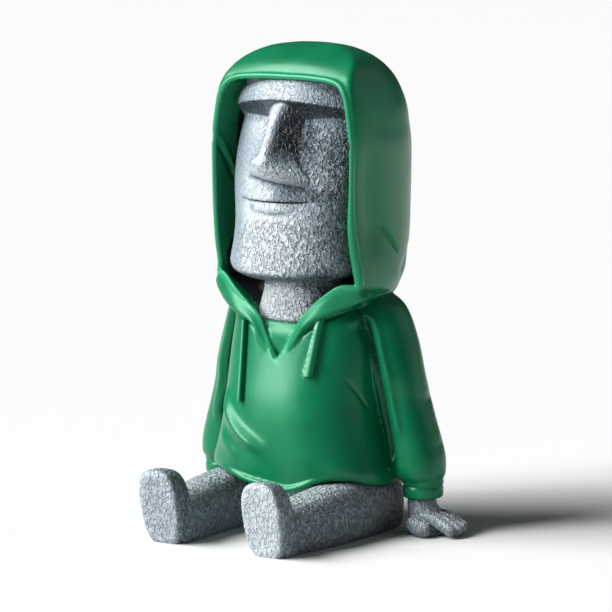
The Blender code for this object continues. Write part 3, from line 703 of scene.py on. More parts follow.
# %% Folds of the hood and sleeves
CLOTH_TRIANGLES = 100000
INNER_GROOVE = [(-1, 165.5), (3, 161.5), (6.5, 158), (12.5, 149.5), (16, 142)]
INNER_RIDGE = [(0, 168.4), (4, 164.6), (8, 160.6), (14, 152), (18, 144)]
for side in (LEFT, RIGHT):
    stroke(cloth, side, [(8, 172), (9, 150), (12, 130), (17, 114)], 7.0, -1.2)
    stroke(cloth, side, [(17, 133), (25, 125), (33, 117)], 0.9, -1.2)
    stroke(cloth, side, [(33, 108), (42, 112), (52, 121)], 3.0, -1.2)
    stroke(cloth, side, [(22, 60), (30, 56), (41, 59)], 2.6, -0.5)
    stroke(cloth, side, [(20, 40), (30, 37), (40, 39)], 2.4, -0.3)


def inner_wall(place):
    """The inside of the hood beyond the face."""
    return (place[:, 0] < -28) * (place[:, 2] > 108)


stroke(cloth, LEFT, INNER_GROOVE, 1.1, -2.0, only=inner_wall)
stroke(cloth, LEFT, INNER_RIDGE, 1.3, 0.9, only=inner_wall)
stroke(cloth, RIGHT, [(-4, 166.5), (0, 165), (5, 166)], 1.4, -1.1)
thin(cloth, CLOTH_TRIANGLES)
print("cloth stands", round(max(v.co.z for v in cloth.data.vertices) / MM, 1), "mm high")

# %% [markdown]
# ## The stone head
#
# The traditional carved face is built from planes: a heavy brow that overhangs the eyes, a long wedge of a
# nose with flared wings, thin closed lips and a square jaw. Each plane is a form of its own, grown in
# rings, and only then is the head fused. The back of the head is never seen, so it just runs into the hood.

# %% Head block and neck
head_block = standing(
    "head_block",
    [
        (106.3, 0.7, 11.5, -2.8, 28),
        (107.1, 0.7, 20.3, -6.8, 30),
        (109.7, 0.7, 26.9, -10.5, 32),
        (113.3, 0.7, 29.1, -11.3, 32),
        (117.0, 0.7, 28.7, -11.2, 32),
        (123.0, 0.7, 27.7, -10.5, 32),
        (130.0, 0.7, 27.3, -9.6, 32),
        (137.0, 0.7, 28.0, -8.4, 32),
        (144.0, 0.5, 29.0, -6.9, 32),
        (150.0, 0.3, 29.6, -5.2, 32),
        (158.0, 0, 29.7, -2.7, 32),
        (164.0, 0, 29.5, -0.6, 32),
        (170.0, 0, 29.0, 1.7, 32),
        (173.8, 0, 28.6, 3.2, 32),
        (180.0, 0, 27.8, 3.4, 32),
        (190.0, 0, 27.2, 3.0, 31),
        (196.5, 0, 24.9, 5.0, 28),
    ],
    2.5,
    count=110,
)
neck = standing(
    "neck",
    [
        (80, 0, 22.6, 1.5, 34.5),
        (90, 0, 21.7, 0.2, 36.5),
        (96, 0, 19.5, -0.6, 38.5),
        (104, 0, 17.5, -0.5, 40.5),
        (116, 0, 18.5, -0.5, 40.5),
    ],
    2.1,
    count=30,
)
print("head block faces:", len(head_block.data.polygons))

# %% Brow
def brow_form():
    """The band across the forehead: its lower edge arches, and its underside slopes in to the eyes."""
    rings = []
    for share in np.linspace(-1, 1, 61):
        y = -2.9 + 9.8 * abs(share) ** 2.6
        z = 182.6 - 3.6 * share**2
        eye_z = 174.0 - 1.9 * share**2
        outline = [
            (y, z),
            (y + 0.5, z + 2.2),
            (y + 2.2, z + 5.2),
            (y + 6.0, z + 8.8),
            (y + 10.0, z + 11.0),
            (30, z + 11.0),
            (30, eye_z - 1.0),
            (y + 7.4, eye_z - 1.0),
            (y + 6.3, eye_z + 0.4),
            (y + 3.2, z - 3.2),
        ]
        rings.append(np.array([(share * 28.0, a, b) for a, b in outline]))
    return grow("brow", rings)


brow = brow_form()
print("brow width, mm:", round(brow.dimensions.x / MM, 1))

# %% Nose
def nose_form():
    """Rows give the height, half width, ridge, root and how blunt the ridge is."""
    rows = [
        (184.0, 7.4, 0.6, 5.0, 0.3),
        (181.5, 7.8, -0.8, 4.0, 0.3),
        (178.8, 8.1, -3.7, 3.6, 0.3),
        (175.7, 8.4, -6.4, 3.2, 0.3),
        (172.0, 8.6, -8.8, 2.4, 0.3),
        (167.1, 8.9, -11.3, 0.6, 0.3),
        (162.5, 9.2, -13.7, -1.2, 0.32),
        (159.0, 9.9, -15.2, -2.2, 0.4),
        (156.6, 11.6, -16.2, -3.0, 0.7),
        (154.2, 14.2, -16.6, -3.9, 1.2),
        (152.4, 15.6, -15.8, -4.5, 1.5),
        (151.2, 15.7, -14.2, -4.9, 1.5),
        (150.2, 14.0, -11.4, -5.1, 1.5),
        (148.6, 9.6, -7.2, -5.4, 1.2),
    ]
    turn = np.linspace(0, np.pi, 41)
    rings = []
    for z, wide, ridge, root, blunt in smooth_run(rows, 80):
        steep = np.sqrt(np.cos(turn) ** 2 + blunt**2) - blunt
        lift = 1 - steep / (math.sqrt(1 + blunt**2) - blunt)
        front = np.column_stack(
            [wide * np.cos(turn), root + (ridge - root) * lift, np.full_like(turn, z)]
        )
        ring = np.vstack([front, [(-wide, 16, z), (wide, 16, z)]])
        ring[:, 2] -= 0.15 * ring[:, 0] * np.clip((166 - z) / 10, 0, 1)
        rings.append(ring)
    return grow("nose", rings)


nose = nose_form()
print("nose reaches y, mm:", round(min(v.co.y for v in nose.data.vertices) / MM, 1))

# %% Lips, fingers and other tapered rolls
def roll(name, points, radii, steps=40, sides=20):
    """A roll along a path whose thickness follows its own list, with rounded ends."""
    path = smooth_run(points, steps)
    thick = np.interp(np.linspace(0, 1, steps), np.linspace(0, 1, len(radii)), radii)
    ahead = np.gradient(path, axis=0)
    ahead /= np.linalg.norm(ahead, axis=1)[:, None]
    side = np.cross(ahead, (0, 1, 0.01))
    side /= np.linalg.norm(side, axis=1)[:, None]
    outward = np.cross(side, ahead)
    turn = np.linspace(0, 2 * np.pi, sides, endpoint=False)
    rings = []
    for k in range(steps):
        inset = min(k, steps - 1 - k) / 6
        full = math.sqrt(max(1 - (1 - min(inset, 1)) ** 2, 0.02))
        around = np.outer(np.cos(turn), side[k]) + np.outer(np.sin(turn), outward[k])
        rings.append(path[k] + full * thick[k] * around)
    return grow(name, rings)


def lip(name, z, half, thick, out):
    """A roll that thins and sinks back towards the corners of the mouth."""
    shares = np.linspace(-1, 1, 9)
    points = [(s * half, -out + 4.2 * abs(s) ** 2.4, z + 0.6 * s * s) for s in shares]
    return roll(name, points, [thick * 0.2, thick * 0.8, thick, thick * 0.8, thick * 0.2])


def upper_lip():
    """The plane that slopes from under the nose down to the mouth."""
    rings = []
    for share in np.linspace(-1, 1, 41):
        back = 4.2 * abs(share) ** 2.2
        drop = 4.6 * abs(share) ** 1.4
        outline = [
            (6, 150.6 - drop),
            (-6.3 + back, 149.8 - drop),
            (-8.3 + back, 145.0 - 0.4 * drop),
            (-9.5 + back, 142.0),
            (-9.2 + back, 140.4),
            (6, 140.2),
        ]
        rings.append(np.array([(share * 17.0, a, b) for a, b in outline]))
    return grow("upper_lip", rings)


lips = [upper_lip(), lip("lower_lip", 137.4, 16.8, 3.2, 7.0)]
print("lips:", len(lips))

# %% Fuse and carve the head
head = fuse("stone_head", [head_block, brow, neck, nose] + lips, voxel=0.45, smoothing=1)
stroke(head, FRONT, [(-1.6, 150.5), (-1.2, 147.0), (-1.0, 144.6)], 1.3, -0.6, taper=0.5)

# %% Hammered relief
def hammer(form, height, size):
    """Worm-like ridges on a slant, pushed along the normals."""
    bpy.ops.object.select_all(action="DESELECT")
    bpy.ops.object.empty_add()
    guide = bpy.context.object
    guide.rotation_euler = (0, math.radians(-35), 0)
    guide.scale = Vector((1.6, 1.0, 0.85)) * size * MM
    pattern = bpy.data.textures.new("hammered", "MUSGRAVE")
    pattern.musgrave_type = "RIDGED_MULTIFRACTAL"
    pattern.octaves = 2
    pattern.noise_scale = 1.0
    use(
        form,
        "DISPLACE",
        texture=pattern,
        texture_coords="OBJECT",
        texture_coords_object=guide,
        strength=height * MM,
        mid_level=0.6,
    )
    bpy.data.objects.remove(guide, do_unlink=True)


HEAD_TRIANGLES = 74000
hammer(head, 0.07, 1.8)
thin(head, HEAD_TRIANGLES)


def mouth_slit():
    """A thin slot that parts the lips."""
    rings = []
    for x in np.linspace(-16.4, 16.4, 30):
        z = 140.3 + 0.5 * (x / 16) ** 2
        back = -6.2 + 2.2 * (x / 16) ** 2
        half = (0.34 + 0.010 * x) * (1 - (x / 19) ** 4)
        low, high = z - half, z + half
        rings.append(np.array([(x, -20, low), (x, back, low), (x, back, high), (x, -20, high)]))
    return grow("mouth_slit", rings)


carve(head, mouth_slit())
print("head triangles:", len(head.data.polygons))

# %% [markdown]
# ## Legs, feet and hands
#
# Each leg lies flat on the table and its foot stands up as a thick slab with a flat sole, more a boot than a
# foot. The seat under the hem joins both. A hand is a palm, four fingers and a thumb that lie on the
# table and point away from the hip. One leg and one hand are modelled and then mirrored.

# %% Leg, foot and seat
FOOT_X = 25.8
SOLE_Y = -49.6
FOOT_HEIGHT = 31.7
leg = lying(
    "leg",
    [
        (SOLE_Y + 3.0, FOOT_X, 9.2, -4, 18.0),
        (SOLE_Y + 14.0, FOOT_X, 9.5, -4, 20.0),
        (-22.0, FOOT_X + 1.6, 10.7, -4, 22.2),
        (-6.0, FOOT_X + 2.3, 11.6, -4, 23.4),
        (15.0, FOOT_X + 2.6, 11.9, -4, 24.0),
        (28.0, FOOT_X + 2.6, 11.0, -4, 23.0),
    ],
    2.8,
)


def foot_form():
    """A thick upright slab whose flat sole leans towards the toes, with rounded edges."""
    across, along = oval(2.8)
    rings = []
    layers = [(-0.8, 0.88), (-0.4, 0.955), (0.6, 1.0), (6.0, 1.0), (9.5, 0.96), (11.0, 0.80)]
    for depth, size in layers:
        z = FOOT_HEIGHT - (FOOT_HEIGHT / 2 + 1.0) * (1 - along * size)
        narrow = 1.0 - 0.07 * np.clip(1 - z / FOOT_HEIGHT, 0, 1)
        x = FOOT_X + across * 10.1 * size * narrow
        y = SOLE_Y + depth - 7.2 * z / FOOT_HEIGHT
        rings.append(np.column_stack([x, y, z]))
    return grow("foot", rings)


foot = foot_form()
seat = standing(
    "seat",
    [
        (-4.0, 0, 36.5, 2.0, 41.0),
        (1.0, 0, 38.7, 2.0, 43.2),
        (6.0, 0, 39.5, 2.0, 44.0),
        (18.0, 0, 38.9, 1.0, 44.0),
        (26.0, 0, 35.5, 0.0, 41.0),
    ],
    3.8,
    count=30,
)
legs = fuse("stone_legs", [seat, leg, foot, other_side(leg), other_side(foot)], 0.55, 2)
LEG_TRIANGLES = 54000
hammer(legs, 0.10, 1.8)
thin(legs, LEG_TRIANGLES)

# %% Hand
def finger(k, share):
    """One finger; the share runs from -1 at the front to 1 at the back."""
    reach = 20.0 - 1.8 * abs(share + 0.1)
    aim = math.radians(-3 + 3 * share)
    x, y = 52.5, SLEEVE_Y + share * 5.0
    points = [(x, y, 8.0)]
    for part, height in ((0.5, 6.4), (0.8, 4.0), (1.0, 2.5)):
        points.append((x + math.cos(aim) * reach * part, y + math.sin(aim) * reach * part, height))
    return roll(f"finger_{k}", points, [2.6, 2.4, 2.3], steps=30)


def hand_form():
    """A palm with four fingers and a thumb, all pressed together."""
    palm = standing(
        "palm",
        [
            (-3.0, 54.5, 8.0, 20.8, 38.3),
            (4.0, 53.8, 7.8, 21.0, 38.2),
            (8.5, 52.4, 6.8, 22.4, 37.2),
            (13.0, 50.8, 5.8, 23.6, 36.0),
            (19.0, 50.8, 5.6, 23.8, 35.8),
        ],
        2.3,
        count=30,
    )
    digits = [finger(k, share) for k, share in enumerate(np.linspace(-1, 1, 4))]
    thumb = [(49, 23.3, 5.0), (55, 19.6, 3.8), (61.5, 18.6, 2.8)]
    digits.append(roll("thumb", thumb, [3.4, 3.3, 2.9], steps=30))
    return fuse("stone_hand", [palm] + digits, 0.45, 1)


HAND_TRIANGLES = 8000
left_hand = hand_form()
hammer(left_hand, 0.05, 1.5)
thin(left_hand, HAND_TRIANGLES)
right_hand = other_side(left_hand)
print("hand reaches x, mm:", round(max(v.co.x for v in left_hand.data.vertices) / MM, 1))

# %% [markdown]
# ## One casting
#
# The cloth and the stone parts are joined with a Boolean union. Their faces keep their material numbers,
# so the border between two paints falls exactly on the crease where two forms meet, as a careful
# painter would put it. Then the underside is cut flat where the figure stands on the table.

# %% Three paints, by number
GREEN, STONE, SHADE = 0, 1, 2
paints = [bpy.data.materials.new(n) for n in ("green_paint", "stone_paint", "shade_paint")]
for paint in paints:
    paint.use_nodes = True


def number_faces(form, index):
    """Give every face of a form the same paint."""
    form.data.materials.clear()
    for paint in paints:
        form.data.materials.append(paint)
    form.data.polygons.foreach_set("material_index", [index] * len(form.data.polygons))


print("paints:", [paint.name for paint in paints])

# %% The rubbed side of a drawstring
def rubbed_side(string):
    """Points on the side of the left drawstring that faces the neck, below the collar band."""
    found = []
    for vert in string.data.vertices:
        x, y, z = vert.co / MM
        if z < 90.5 and x < 18.6 - (92.5 - z) * 2.6 / 24:
            found.append(vert.co.copy())
    return found


rubbed_points = rubbed_side(strings[0])
print("rubbed points:", len(rubbed_points))

# %% Join cloth and stone
number_faces(cloth, GREEN)
additions = [(form, GREEN) for form in strings]
additions += [(form, STONE) for form in (head, legs, left_hand, right_hand)]
for form, paint in additions:
    number_faces(form, paint)
    use(cloth, "BOOLEAN", operation="UNION", solver="MANIFOLD", object=form)
    bpy.data.objects.remove(form, do_unlink=True)
figure = cloth
figure.name = "painted_casting"
print("joined faces:", len(figure.data.polygons))

# %% Flat underside
BACK_STEP = -4.5
moved_back = Matrix.Translation((0, BACK_STEP * MM, 0))
bpy.ops.object.select_all(action="DESELECT")
bpy.ops.mesh.primitive_cube_add(size=0.3, location=(0, 0, -0.15))
table = bpy.context.object
bpy.ops.object.transform_apply(location=True)
number_faces(table, STONE)
use(figure, "BOOLEAN", operation="DIFFERENCE", solver="MANIFOLD", object=table)
bpy.data.objects.remove(table, do_unlink=True)
use(figure, "TRIANGULATE")
figure.data.transform(moved_back)
print("triangles:", len(figure.data.polygons))

# %% [markdown]
# ## Paint masks
#
# Marks on the vertices tell the paints where they are, and some of them paint light and shade. For the stone,
# "coarse" says how strongly it was hammered, one mark holds the dry brush's silver together with painted
# light and shade, and another how near the cloth is, which lays a dark line there: partly dark paint at the
# join, partly painted shade in the crease. For the green, one mark lightens the worn rim and collar edges,
# where the paint is thinner, and these edges also carry a painted highlight; the same mark puts painted light
# on the hood's inner wall. Another mark lays painted shade in the folds beside the sleeves, and "rubbed"
# marks one side of a drawstring.

# %% Where the stone is hammered
def soft_step(values, low, high):
    """0 below low and 1 above high, with an even bend between them."""
    share = np.clip((values - low) / (high - low), 0, 1)
    return share * share * (3 - 2 * share)


def coarseness(x, y, z):
    """How strongly each part of the stone was hammered, from 0 to 1."""
    side = np.clip((x + 14) / 20, 0, 1)
    face = 0.08 + 0.92 * side
    chin = np.interp(z, [112, 118, 128, 136], [0.30, 0.50, 0.50, 0.08])
    face = np.maximum(face, chin * np.clip((x + 26) / 12, 0.3, 1) + 0.5 * side)
    face = np.where(z > 172, 0.30, face)
    face = np.where((y < -9) & (z > 136), face * 0.5, face)
    on_lips = (np.abs(x) < 17) & (z > 132) & (z < 147) & (y < -6)
    face = np.where(on_lips, 0.12 + 0.3 * side, face)
    limb = np.where(y < -52.5 - 7.2 * z / 31.7, 0.45, 0.85)
    limb = np.where(x > 43, 0.5, limb)
    return np.where(z > 80, face, limb)


print("hammering at the left cheek and the brow:", coarseness(20, -5, 140), coarseness(0, -5, 185))

# %% [markdown]
# ## Where the silver brush and painted light went
#
# A dry brush touches what stands proud and what faces it, and the same mark paints light and shade. It is
# pale where a surface faces the light from the front and from the figure's right, and painted shade keeps the
# left cheek, the eyes and the far side of the nose slate. Large planes come first, then the nose and the
# mouth, because each of these corrects what the one before it left.

# %% Brush and painted light over the head
# The silver and the painted light come from the front, the figure's right and a little above.
HEAD_BRUSH_AND_LIGHT = np.array([-0.30, -0.92, 0.25])
NOSE_HEIGHTS = [156, 162.5, 167, 172, 175.7, 178.8, 181.5]
NOSE_RIDGE = [-20.7, -18.2, -15.8, -13.3, -10.9, -8.2, -5.3]


def planes_brush_and_light(place, normal):
    """Large planes: pale facing the brush and light, with painted shade at eye level and on the left cheek.
    """
    x, y, z = place.T
    face = soft_step(normal @ HEAD_BRUSH_AND_LIGHT, 0.10, 0.95)
    # Painted shade tones down what faces the figure's right, where the light falls strongest; what faces the
    # figure's left gets painted reflected light.
    face = np.maximum(face, 0.22) * (1 - 0.40 * soft_step(-normal[:, 0], 0.10, 0.55))
    face = face + 0.55 * soft_step(normal[:, 0], 0.5, 0.95) * (z > 104)
    # Painted shade at eye level, deeper on the left cheek.
    left_cheek = soft_step(x, -2, 12)
    eye_shade = np.exp(-(((z - 161) / 15) ** 2))
    face = face * (1 - eye_shade * (0.30 + 0.28 * left_cheek))
    # The neck is paler, as painted light.
    face = np.where(z < 104, np.maximum(face, 0.35) + 0.45, face)
    # The brow gets painted shade, more on the figure's left.
    return np.where(z > 173, face * (0.9 - 0.28 * soft_step(x, 2, 20)), face)


def nose_brush_and_light(face, place):
    """The nose: painted light up to its ridge, and painted shade past it like the cheek beside it."""
    x, y, z = place.T
    ridge = np.interp(z, NOSE_HEIGHTS, NOSE_RIDGE)
    past_ridge = 0.829 * x + 0.559 * (y - ridge)
    on_nose = (np.abs(x) < 10) & (z > 156.5) & (z < 182) & (y < ridge + 11)
    # A painted shadow beside the nose, on the figure's left.
    shadow_beside_nose = np.exp(-(((x - 11.5) / 2.6) ** 2)) * soft_step(z, 156, 166) * (z < 180) * (y > -10)
    face = face * (1 - 0.75 * shadow_beside_nose)
    # Painted light up to the ridge and painted shade past it.
    face = np.where(on_nose, 1.10 - 1.06 * soft_step(past_ridge, -1.0, 4.6), face)
    # Painted light on the lower nose and its wings.
    wing = soft_step(-z, -166, -153) * ((y < -8.5) & (z > 149) & (z < 166))
    return np.where(on_nose | (wing > 0.5), np.maximum(face, 0.80 * wing), face)


def mouth_brush_and_light(face, place, normal):
    """Painted light under the nose; painted shade under the brow, above the mouth, left of chin and neck and
    in the upper crease.
    """
    x, y, z = place.T
    under = soft_step(-normal[:, 2], 0.2, 0.6)
    # Painted light on the undersides of the nose.
    face = np.where((z > 144) & (z < 156), np.maximum(face, 0.95 * under), face)
    # Painted shade under the brow.
    face = np.where((z > 172) & (y < 3), face * (1 - 0.75 * under), face)
    # A painted shadow on the slope above the mouth, on the figure's left.
    shadow_above_mouth = soft_step(x, -3, 6) * (z > 141) * (z < 149 - 0.15 * x) * (y > -16) * (y < -4)
    face = face * (1 - 0.5 * shadow_above_mouth)
    # Painted shade on the figure's left of the chin and the neck.
    face = face * (1 - 0.18 * soft_step(x, 2, 14) * (z < 150) * (z > 104))
    face = face * (1 - 0.35 * soft_step(x, 2, 14) * (z < 104))
    # Painted shade along the crease above the mouth.
    crease = np.exp(-(((z - 148.2 + 0.15 * x) / 0.8) ** 2)) * (np.abs(x) < 15) * (y > -12)
    return face * (1 - 0.7 * crease)


print("nose ridge from", NOSE_RIDGE[0], "to", NOSE_RIDGE[-1], "mm")

# %% Brush and painted light over the limbs
# The silver and the painted light come from the front, the figure's right and above.
LIMB_BRUSH_AND_LIGHT = np.array([-0.30, -0.75, 0.60])


def limb_brush_and_light(place, normal):
    """Legs, feet and hands are palest where they face the brush and the light, at the front and on top."""
    x, y, z = place.T
    # The dry brush's silver, with painted light on what faces the light.
    limb = 0.60 + 0.40 * soft_step(normal @ LIMB_BRUSH_AND_LIGHT, 0.15, 0.85)
    # Darker towards the back and on the sole of the figure's right foot.
    limb = limb - 0.006 * np.clip(y, 0, 40)
    limb = np.where((x < 0) & (y < -50), limb - 0.15, limb)
    return np.where(x > 43.0, 0.55 + 0.35 * soft_step(normal[:, 2], 0.0, 0.9), limb)


def brush_and_light_share(place, normal):
    """How much silver each point of the stone gets: the dry brush's silver together with painted light and
    shade.
    """
    face = planes_brush_and_light(place, normal)
    face = nose_brush_and_light(face, place)
    face = mouth_brush_and_light(face, place, normal)
    return np.where(place[:, 2] > 80, face, limb_brush_and_light(place, normal))


print("brush over the limbs comes from", LIMB_BRUSH_AND_LIGHT)

# %% Dark seams, partly painted shade, and painted shade in deep folds
def gap_to(points, form):
    """Distance in mm from each vertex to the nearest of the points."""
    nearby = KDTree(len(points))
    for k, point in enumerate(points):
        nearby.insert(point, k)
    nearby.balance()
    return np.array([nearby.find(vert.co)[2] for vert in form.data.vertices]) / MM


def join_and_crease_shade_share(form):
    """How near each point is to the line where green meets stone."""
    owners = [set() for vert in form.data.vertices]
    for face in form.data.polygons:
        paint = face.material_index
        for vert in face.vertices:
            owners[vert].add(paint)
    border = [vert.co for vert, found in zip(form.data.vertices, owners) if len(found) > 1]
    # A dark line along the join: partly dark paint on the join, partly painted shade in the crease.
    return np.exp(-((gap_to(border, form) / 0.8) ** 2))


def fold_shade_share(place):
    """How much painted shade each point gets in the fold between the body and a sleeve."""
    seen = np.column_stack([np.abs(place[:, 0]), place[:, 2]])
    gap = along_path(seen, smooth_run(ARMPIT_GROOVE, 24))[0]
    return 0.85 * np.exp(-((gap / 2.0) ** 2)) * (place[:, 1] < 24)


def mark(name, values):
    """Write one value on each vertex of the figure, for the paints to read."""
    figure.data.attributes.new(name, "FLOAT", "POINT").data.foreach_set("value", values)


place, normal = read_points(figure)
place = place / MM
mark("fold_shade", fold_shade_share(place))
mark("coarse", coarseness(*place.T))
# This mark holds the dry brush's silver together with painted light and shade.
mark("brush_and_light", brush_and_light_share(place, normal))
mark("join_and_crease_shade", join_and_crease_shade_share(figure))
print("marked vertices:", len(place))

# %% Where the green is worn and rubbed, and where it gets painted highlight and light
edge_line = smooth_run(OPENING_EDGE, 300) + np.array([0, BACK_STEP, 0])
distance = np.full(len(place), 1e9)
for point in edge_line:
    distance = np.minimum(distance, np.linalg.norm(place - point, axis=1))
# The worn rim and collar edges also carry a painted highlight; the hood's inner wall on the figure's right
# gets painted light.
lit_inner_wall = (place[:, 0] < -27) & (place[:, 2] > 112) & (normal[:, 0] > 0.35)
mark("worn_and_lit", np.maximum(np.exp(-((distance / 1.7) ** 2)), 0.75 * lit_inner_wall))
rubbed_points = [moved_back @ point for point in rubbed_points]
mark("rubbed", np.exp(-((gap_to(rubbed_points, figure) / 0.5) ** 2)))
print("edge vertices:", int((distance < 1.7).sum()))

# %% Dark paint deep in the hood
hollow = face_space()
hollow.data.transform(moved_back)
shaded = 0
for face in figure.data.polygons:
    x, y, z = face.center / MM
    border = np.interp(z, [120, 150, 158], [3.5, 3.5, 10.5])
    if face.material_index == GREEN and border < y < 30 and 92 < z < 194:
        near = hollow.closest_point_on_mesh(face.center)[1]
        reach = np.interp(y, [7.9, 8, 12, 16], [0.6, 1.3, 1.3, 3.0])
        below_neck = abs(x) < 26 and y > 8 and z < 112
        if below_neck or (abs(x) < 34 and (near - face.center).length < reach * MM):
            face.material_index = SHADE
            shaded += 1
bpy.data.objects.remove(hollow, do_unlink=True)
print("shade faces:", shaded)

# %% [markdown]
# ## Building a paint from nodes
#
# A Principled shader makes each paint. The same few steps come back in all three: read a mark, lay
# noise on the object's coordinates, turn a value into a colour, and glaze one colour over another. Each
# step is a short helper, so that the paints below read like a recipe.

# %% Node helpers
def add(tree, kind, inputs=(), **settings):
    """A new node with its settings and the values of its sockets."""
    node = tree.nodes.new(kind)
    for key, value in settings.items():
        setattr(node, key, value)
    for name, value in dict(inputs).items():
        node.inputs[name].default_value = value
    return node


def start(paint):
    """A paint's node tree, its shader and its object coordinates."""
    tree = paint.node_tree
    coords = add(tree, "ShaderNodeTexCoord").outputs["Object"]
    return tree, tree.nodes["Principled BSDF"], coords


def grey(value):
    """An opaque grey."""
    return (value, value, value, 1)


def marked(tree, name):
    """Read one of the figure's marks."""
    return add(tree, "ShaderNodeAttribute", attribute_name=name).outputs["Fac"]


def noise(tree, vector, **inputs):
    """The outputs of a noise that is laid on these coordinates."""
    node = add(tree, "ShaderNodeTexNoise", inputs)
    tree.links.new(vector, node.inputs["Vector"])
    return node.outputs


def ramp(tree, source, stops):
    """Turn a value into a colour."""
    node = tree.nodes.new("ShaderNodeValToRGB")
    bar = node.color_ramp.elements
    bar[0].position, bar[0].color = stops[0]
    bar[1].position, bar[1].color = stops[-1]
    for position, colour in stops[1:-1]:
        bar.new(position).color = colour
    tree.links.new(source, node.inputs["Fac"])
    return node.outputs["Color"]


def reckon(tree, operation, *values):
    """Arithmetic on sockets and plain numbers."""
    node = add(tree, "ShaderNodeMath", operation=operation)
    for socket, value in zip(node.inputs, values):
        if isinstance(value, float):
            socket.default_value = value
        else:
            tree.links.new(value, socket)
    return node.outputs["Value"]


def glaze(tree, under, colour, share):
    """Lay a colour over another as far as the share says."""
    node = add(tree, "ShaderNodeMix", data_type="RGBA")
    node.inputs[7].default_value = colour
    tree.links.new(share, node.inputs["Factor"])
    tree.links.new(under, node.inputs[6])
    return node.outputs[2]


def raise_relief(tree, shader, height, strength, distance):
    """Bend the light on the surface as a fine relief would."""
    node = add(tree, "ShaderNodeBump", {"Strength": strength, "Distance": distance})
    tree.links.new(height, node.inputs["Height"])
    tree.links.new(node.outputs["Normal"], shader.inputs["Normal"])


print("node helpers ready")

# %% [markdown]
# ## Green enamel
#
# The green is a satin enamel: nearly even in colour, lighter where it is worn and where painted highlight and
# painted light lie, darker where painted shade lies in the deep folds, and scuffed in patches on one side of
# a drawstring. A weak relief shows the strokes of the brush.

# %% Colours of the green
tree, shader, coords = start(paints[GREEN])
cloud = noise(tree, coords, Scale=60, Detail=3, Roughness=0.55)["Fac"]
tone = ramp(tree, cloud, [(0.30, (0.001, 0.128, 0.050, 1)), (0.70, (0.002, 0.160, 0.066, 1))])
# Lighter on the worn edges, partly wear and partly painted highlight, and painted light on the hood's inner
# wall.
tone = glaze(tree, tone, (0.030, 0.30, 0.14, 1), marked(tree, "worn_and_lit"))
# Painted shade in the folds beside the sleeves.
tone = glaze(tree, tone, (0.0004, 0.030, 0.010, 1), marked(tree, "fold_shade"))
patches = noise(tree, coords, Scale=900, Detail=2)["Fac"]
scuffs = ramp(tree, patches, [(0.38, grey(0.0)), (0.55, grey(1.0))])
scuffed = reckon(tree, "MULTIPLY", marked(tree, "rubbed"), scuffs)
tone = glaze(tree, tone, (0.22, 0.42, 0.32, 1), scuffed)
tree.links.new(tone, shader.inputs["Base Color"])
print("green nodes for colour:", len(tree.nodes))

# %% Gloss of the green
gloss = ramp(tree, cloud, [(0.3, grey(0.30)), (0.7, grey(0.38))])
tree.links.new(gloss, shader.inputs["Roughness"])
shader.inputs["Specular IOR Level"].default_value = 0.45
shader.inputs["Specular Tint"].default_value = (0.42, 1.0, 0.70, 1)
shader.inputs["Coat Weight"].default_value = 0.08
shader.inputs["Coat Roughness"].default_value = 0.22
brushwork = noise(tree, coords, Scale=420, Detail=2)["Fac"]
raise_relief(tree, shader, brushwork, 0.10, 0.0003)
print("green nodes:", len(tree.nodes))

# %% [markdown]
# ## Dry-brushed stone
#
# The stone starts as dark slate. Silver lies on what stands proud and, as painted light, on what faces the
# light, while painted shade keeps other parts slate. The dents are finer than the mesh, so noise makes them:
# its coordinates are bent by a second noise and slanted, which draws the dents out into short diagonal marks.
# The same value raises the relief and sets the silver, so both always agree.

# %% Slanted and bent coordinates
tree, shader, coords = start(paints[STONE])
bent = add(tree, "ShaderNodeVectorMath", operation="MULTIPLY_ADD")
bent.inputs[1].default_value = (0.0022, 0.0022, 0.0022)
tree.links.new(noise(tree, coords, Scale=420, Detail=1.0)["Color"], bent.inputs[0])
tree.links.new(coords, bent.inputs[2])
slant = add(tree, "ShaderNodeMapping")
slant.inputs["Rotation"].default_value = (0, math.radians(35), 0)
slant.inputs["Scale"].default_value = (1.10, 0.90, 0.62)
tree.links.new(bent.outputs["Vector"], slant.inputs["Vector"])
slanted = slant.outputs["Vector"]
print("stone nodes for coordinates:", len(tree.nodes))

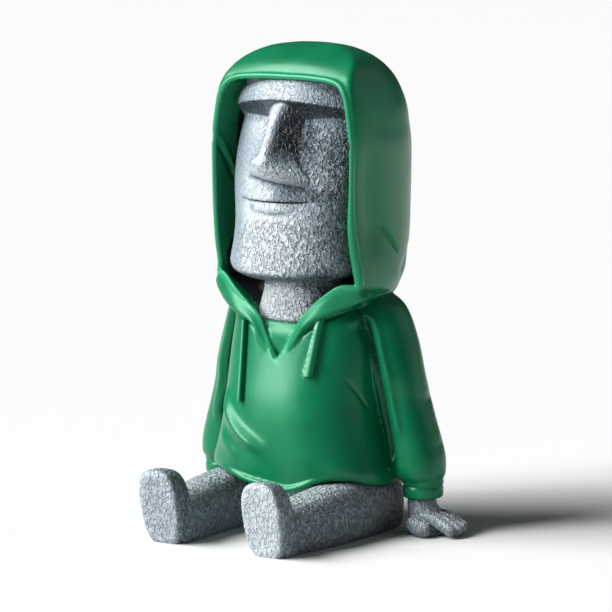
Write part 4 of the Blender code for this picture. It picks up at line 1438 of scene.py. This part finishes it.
# %% Dents and fine lines
coarse = marked(tree, "coarse")
dents = noise(tree, slanted, Scale=760, Detail=1.0, Roughness=0.35, Distortion=0.5)["Fac"]
walls = ramp(tree, dents, [(0.46, grey(0.0)), (0.62, grey(1.0))])
chips = reckon(tree, "MULTIPLY", walls, coarse)
lines = noise(tree, slanted, Scale=1050, Detail=1.0, Distortion=0.8)["Fac"]
fine = reckon(tree, "MULTIPLY", lines, reckon(tree, "MULTIPLY_ADD", coarse, 0.55, 0.30))
surface = reckon(tree, "SUBTRACT", fine, chips)
raise_relief(tree, shader, surface, 1.0, 0.0015)
print("stone nodes with relief:", len(tree.nodes))

# %% Silver on what stands proud, with painted light and shade
SILVER = [
    (0.00, (0.012, 0.018, 0.024, 1)),
    (0.12, (0.031, 0.044, 0.055, 1)),
    (0.35, (0.098, 0.133, 0.163, 1)),
    (0.70, (0.265, 0.324, 0.365, 1)),
    (1.00, (0.520, 0.575, 0.610, 1)),
]
# The dry brush's silver and the painted light and shade are added to the relief here.
proud_and_lit = reckon(tree, "MULTIPLY_ADD", surface, 0.24, marked(tree, "brush_and_light"))
silver = ramp(tree, proud_and_lit, SILVER)
# Dark line where green meets stone: partly dark paint on the join, partly painted shade in the crease.
join_shaded = glaze(tree, silver, (0.012, 0.018, 0.022, 1), marked(tree, "join_and_crease_shade"))
tree.links.new(join_shaded, shader.inputs["Base Color"])
shader.inputs["Roughness"].default_value = 0.32
shader.inputs["Specular IOR Level"].default_value = 0.55
print("stone nodes:", len(tree.nodes))

# %% Dark inside of the hood
tree, shader, coords = start(paints[SHADE])
dust = noise(tree, coords, Scale=300, Detail=3)["Fac"]
dull = ramp(tree, dust, [(0.3, (0.010, 0.013, 0.016, 1)), (0.7, (0.024, 0.029, 0.034, 1))])
tree.links.new(dull, shader.inputs["Base Color"])
shader.inputs["Roughness"].default_value = 0.6
print("shade nodes:", len(tree.nodes))

# %% [markdown]
# ## Last steps
#
# The finished casting stands for the plain measured solid. It shades smooth except at true edges, such as the
# flat underside.

# %% Finish
bpy.ops.object.select_all(action="DESELECT")
figure.select_set(True)
bpy.context.view_layer.objects.active = figure
bpy.ops.object.shade_smooth_by_angle(angle=math.radians(55))
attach(figure, "root")
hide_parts(FIGURE)
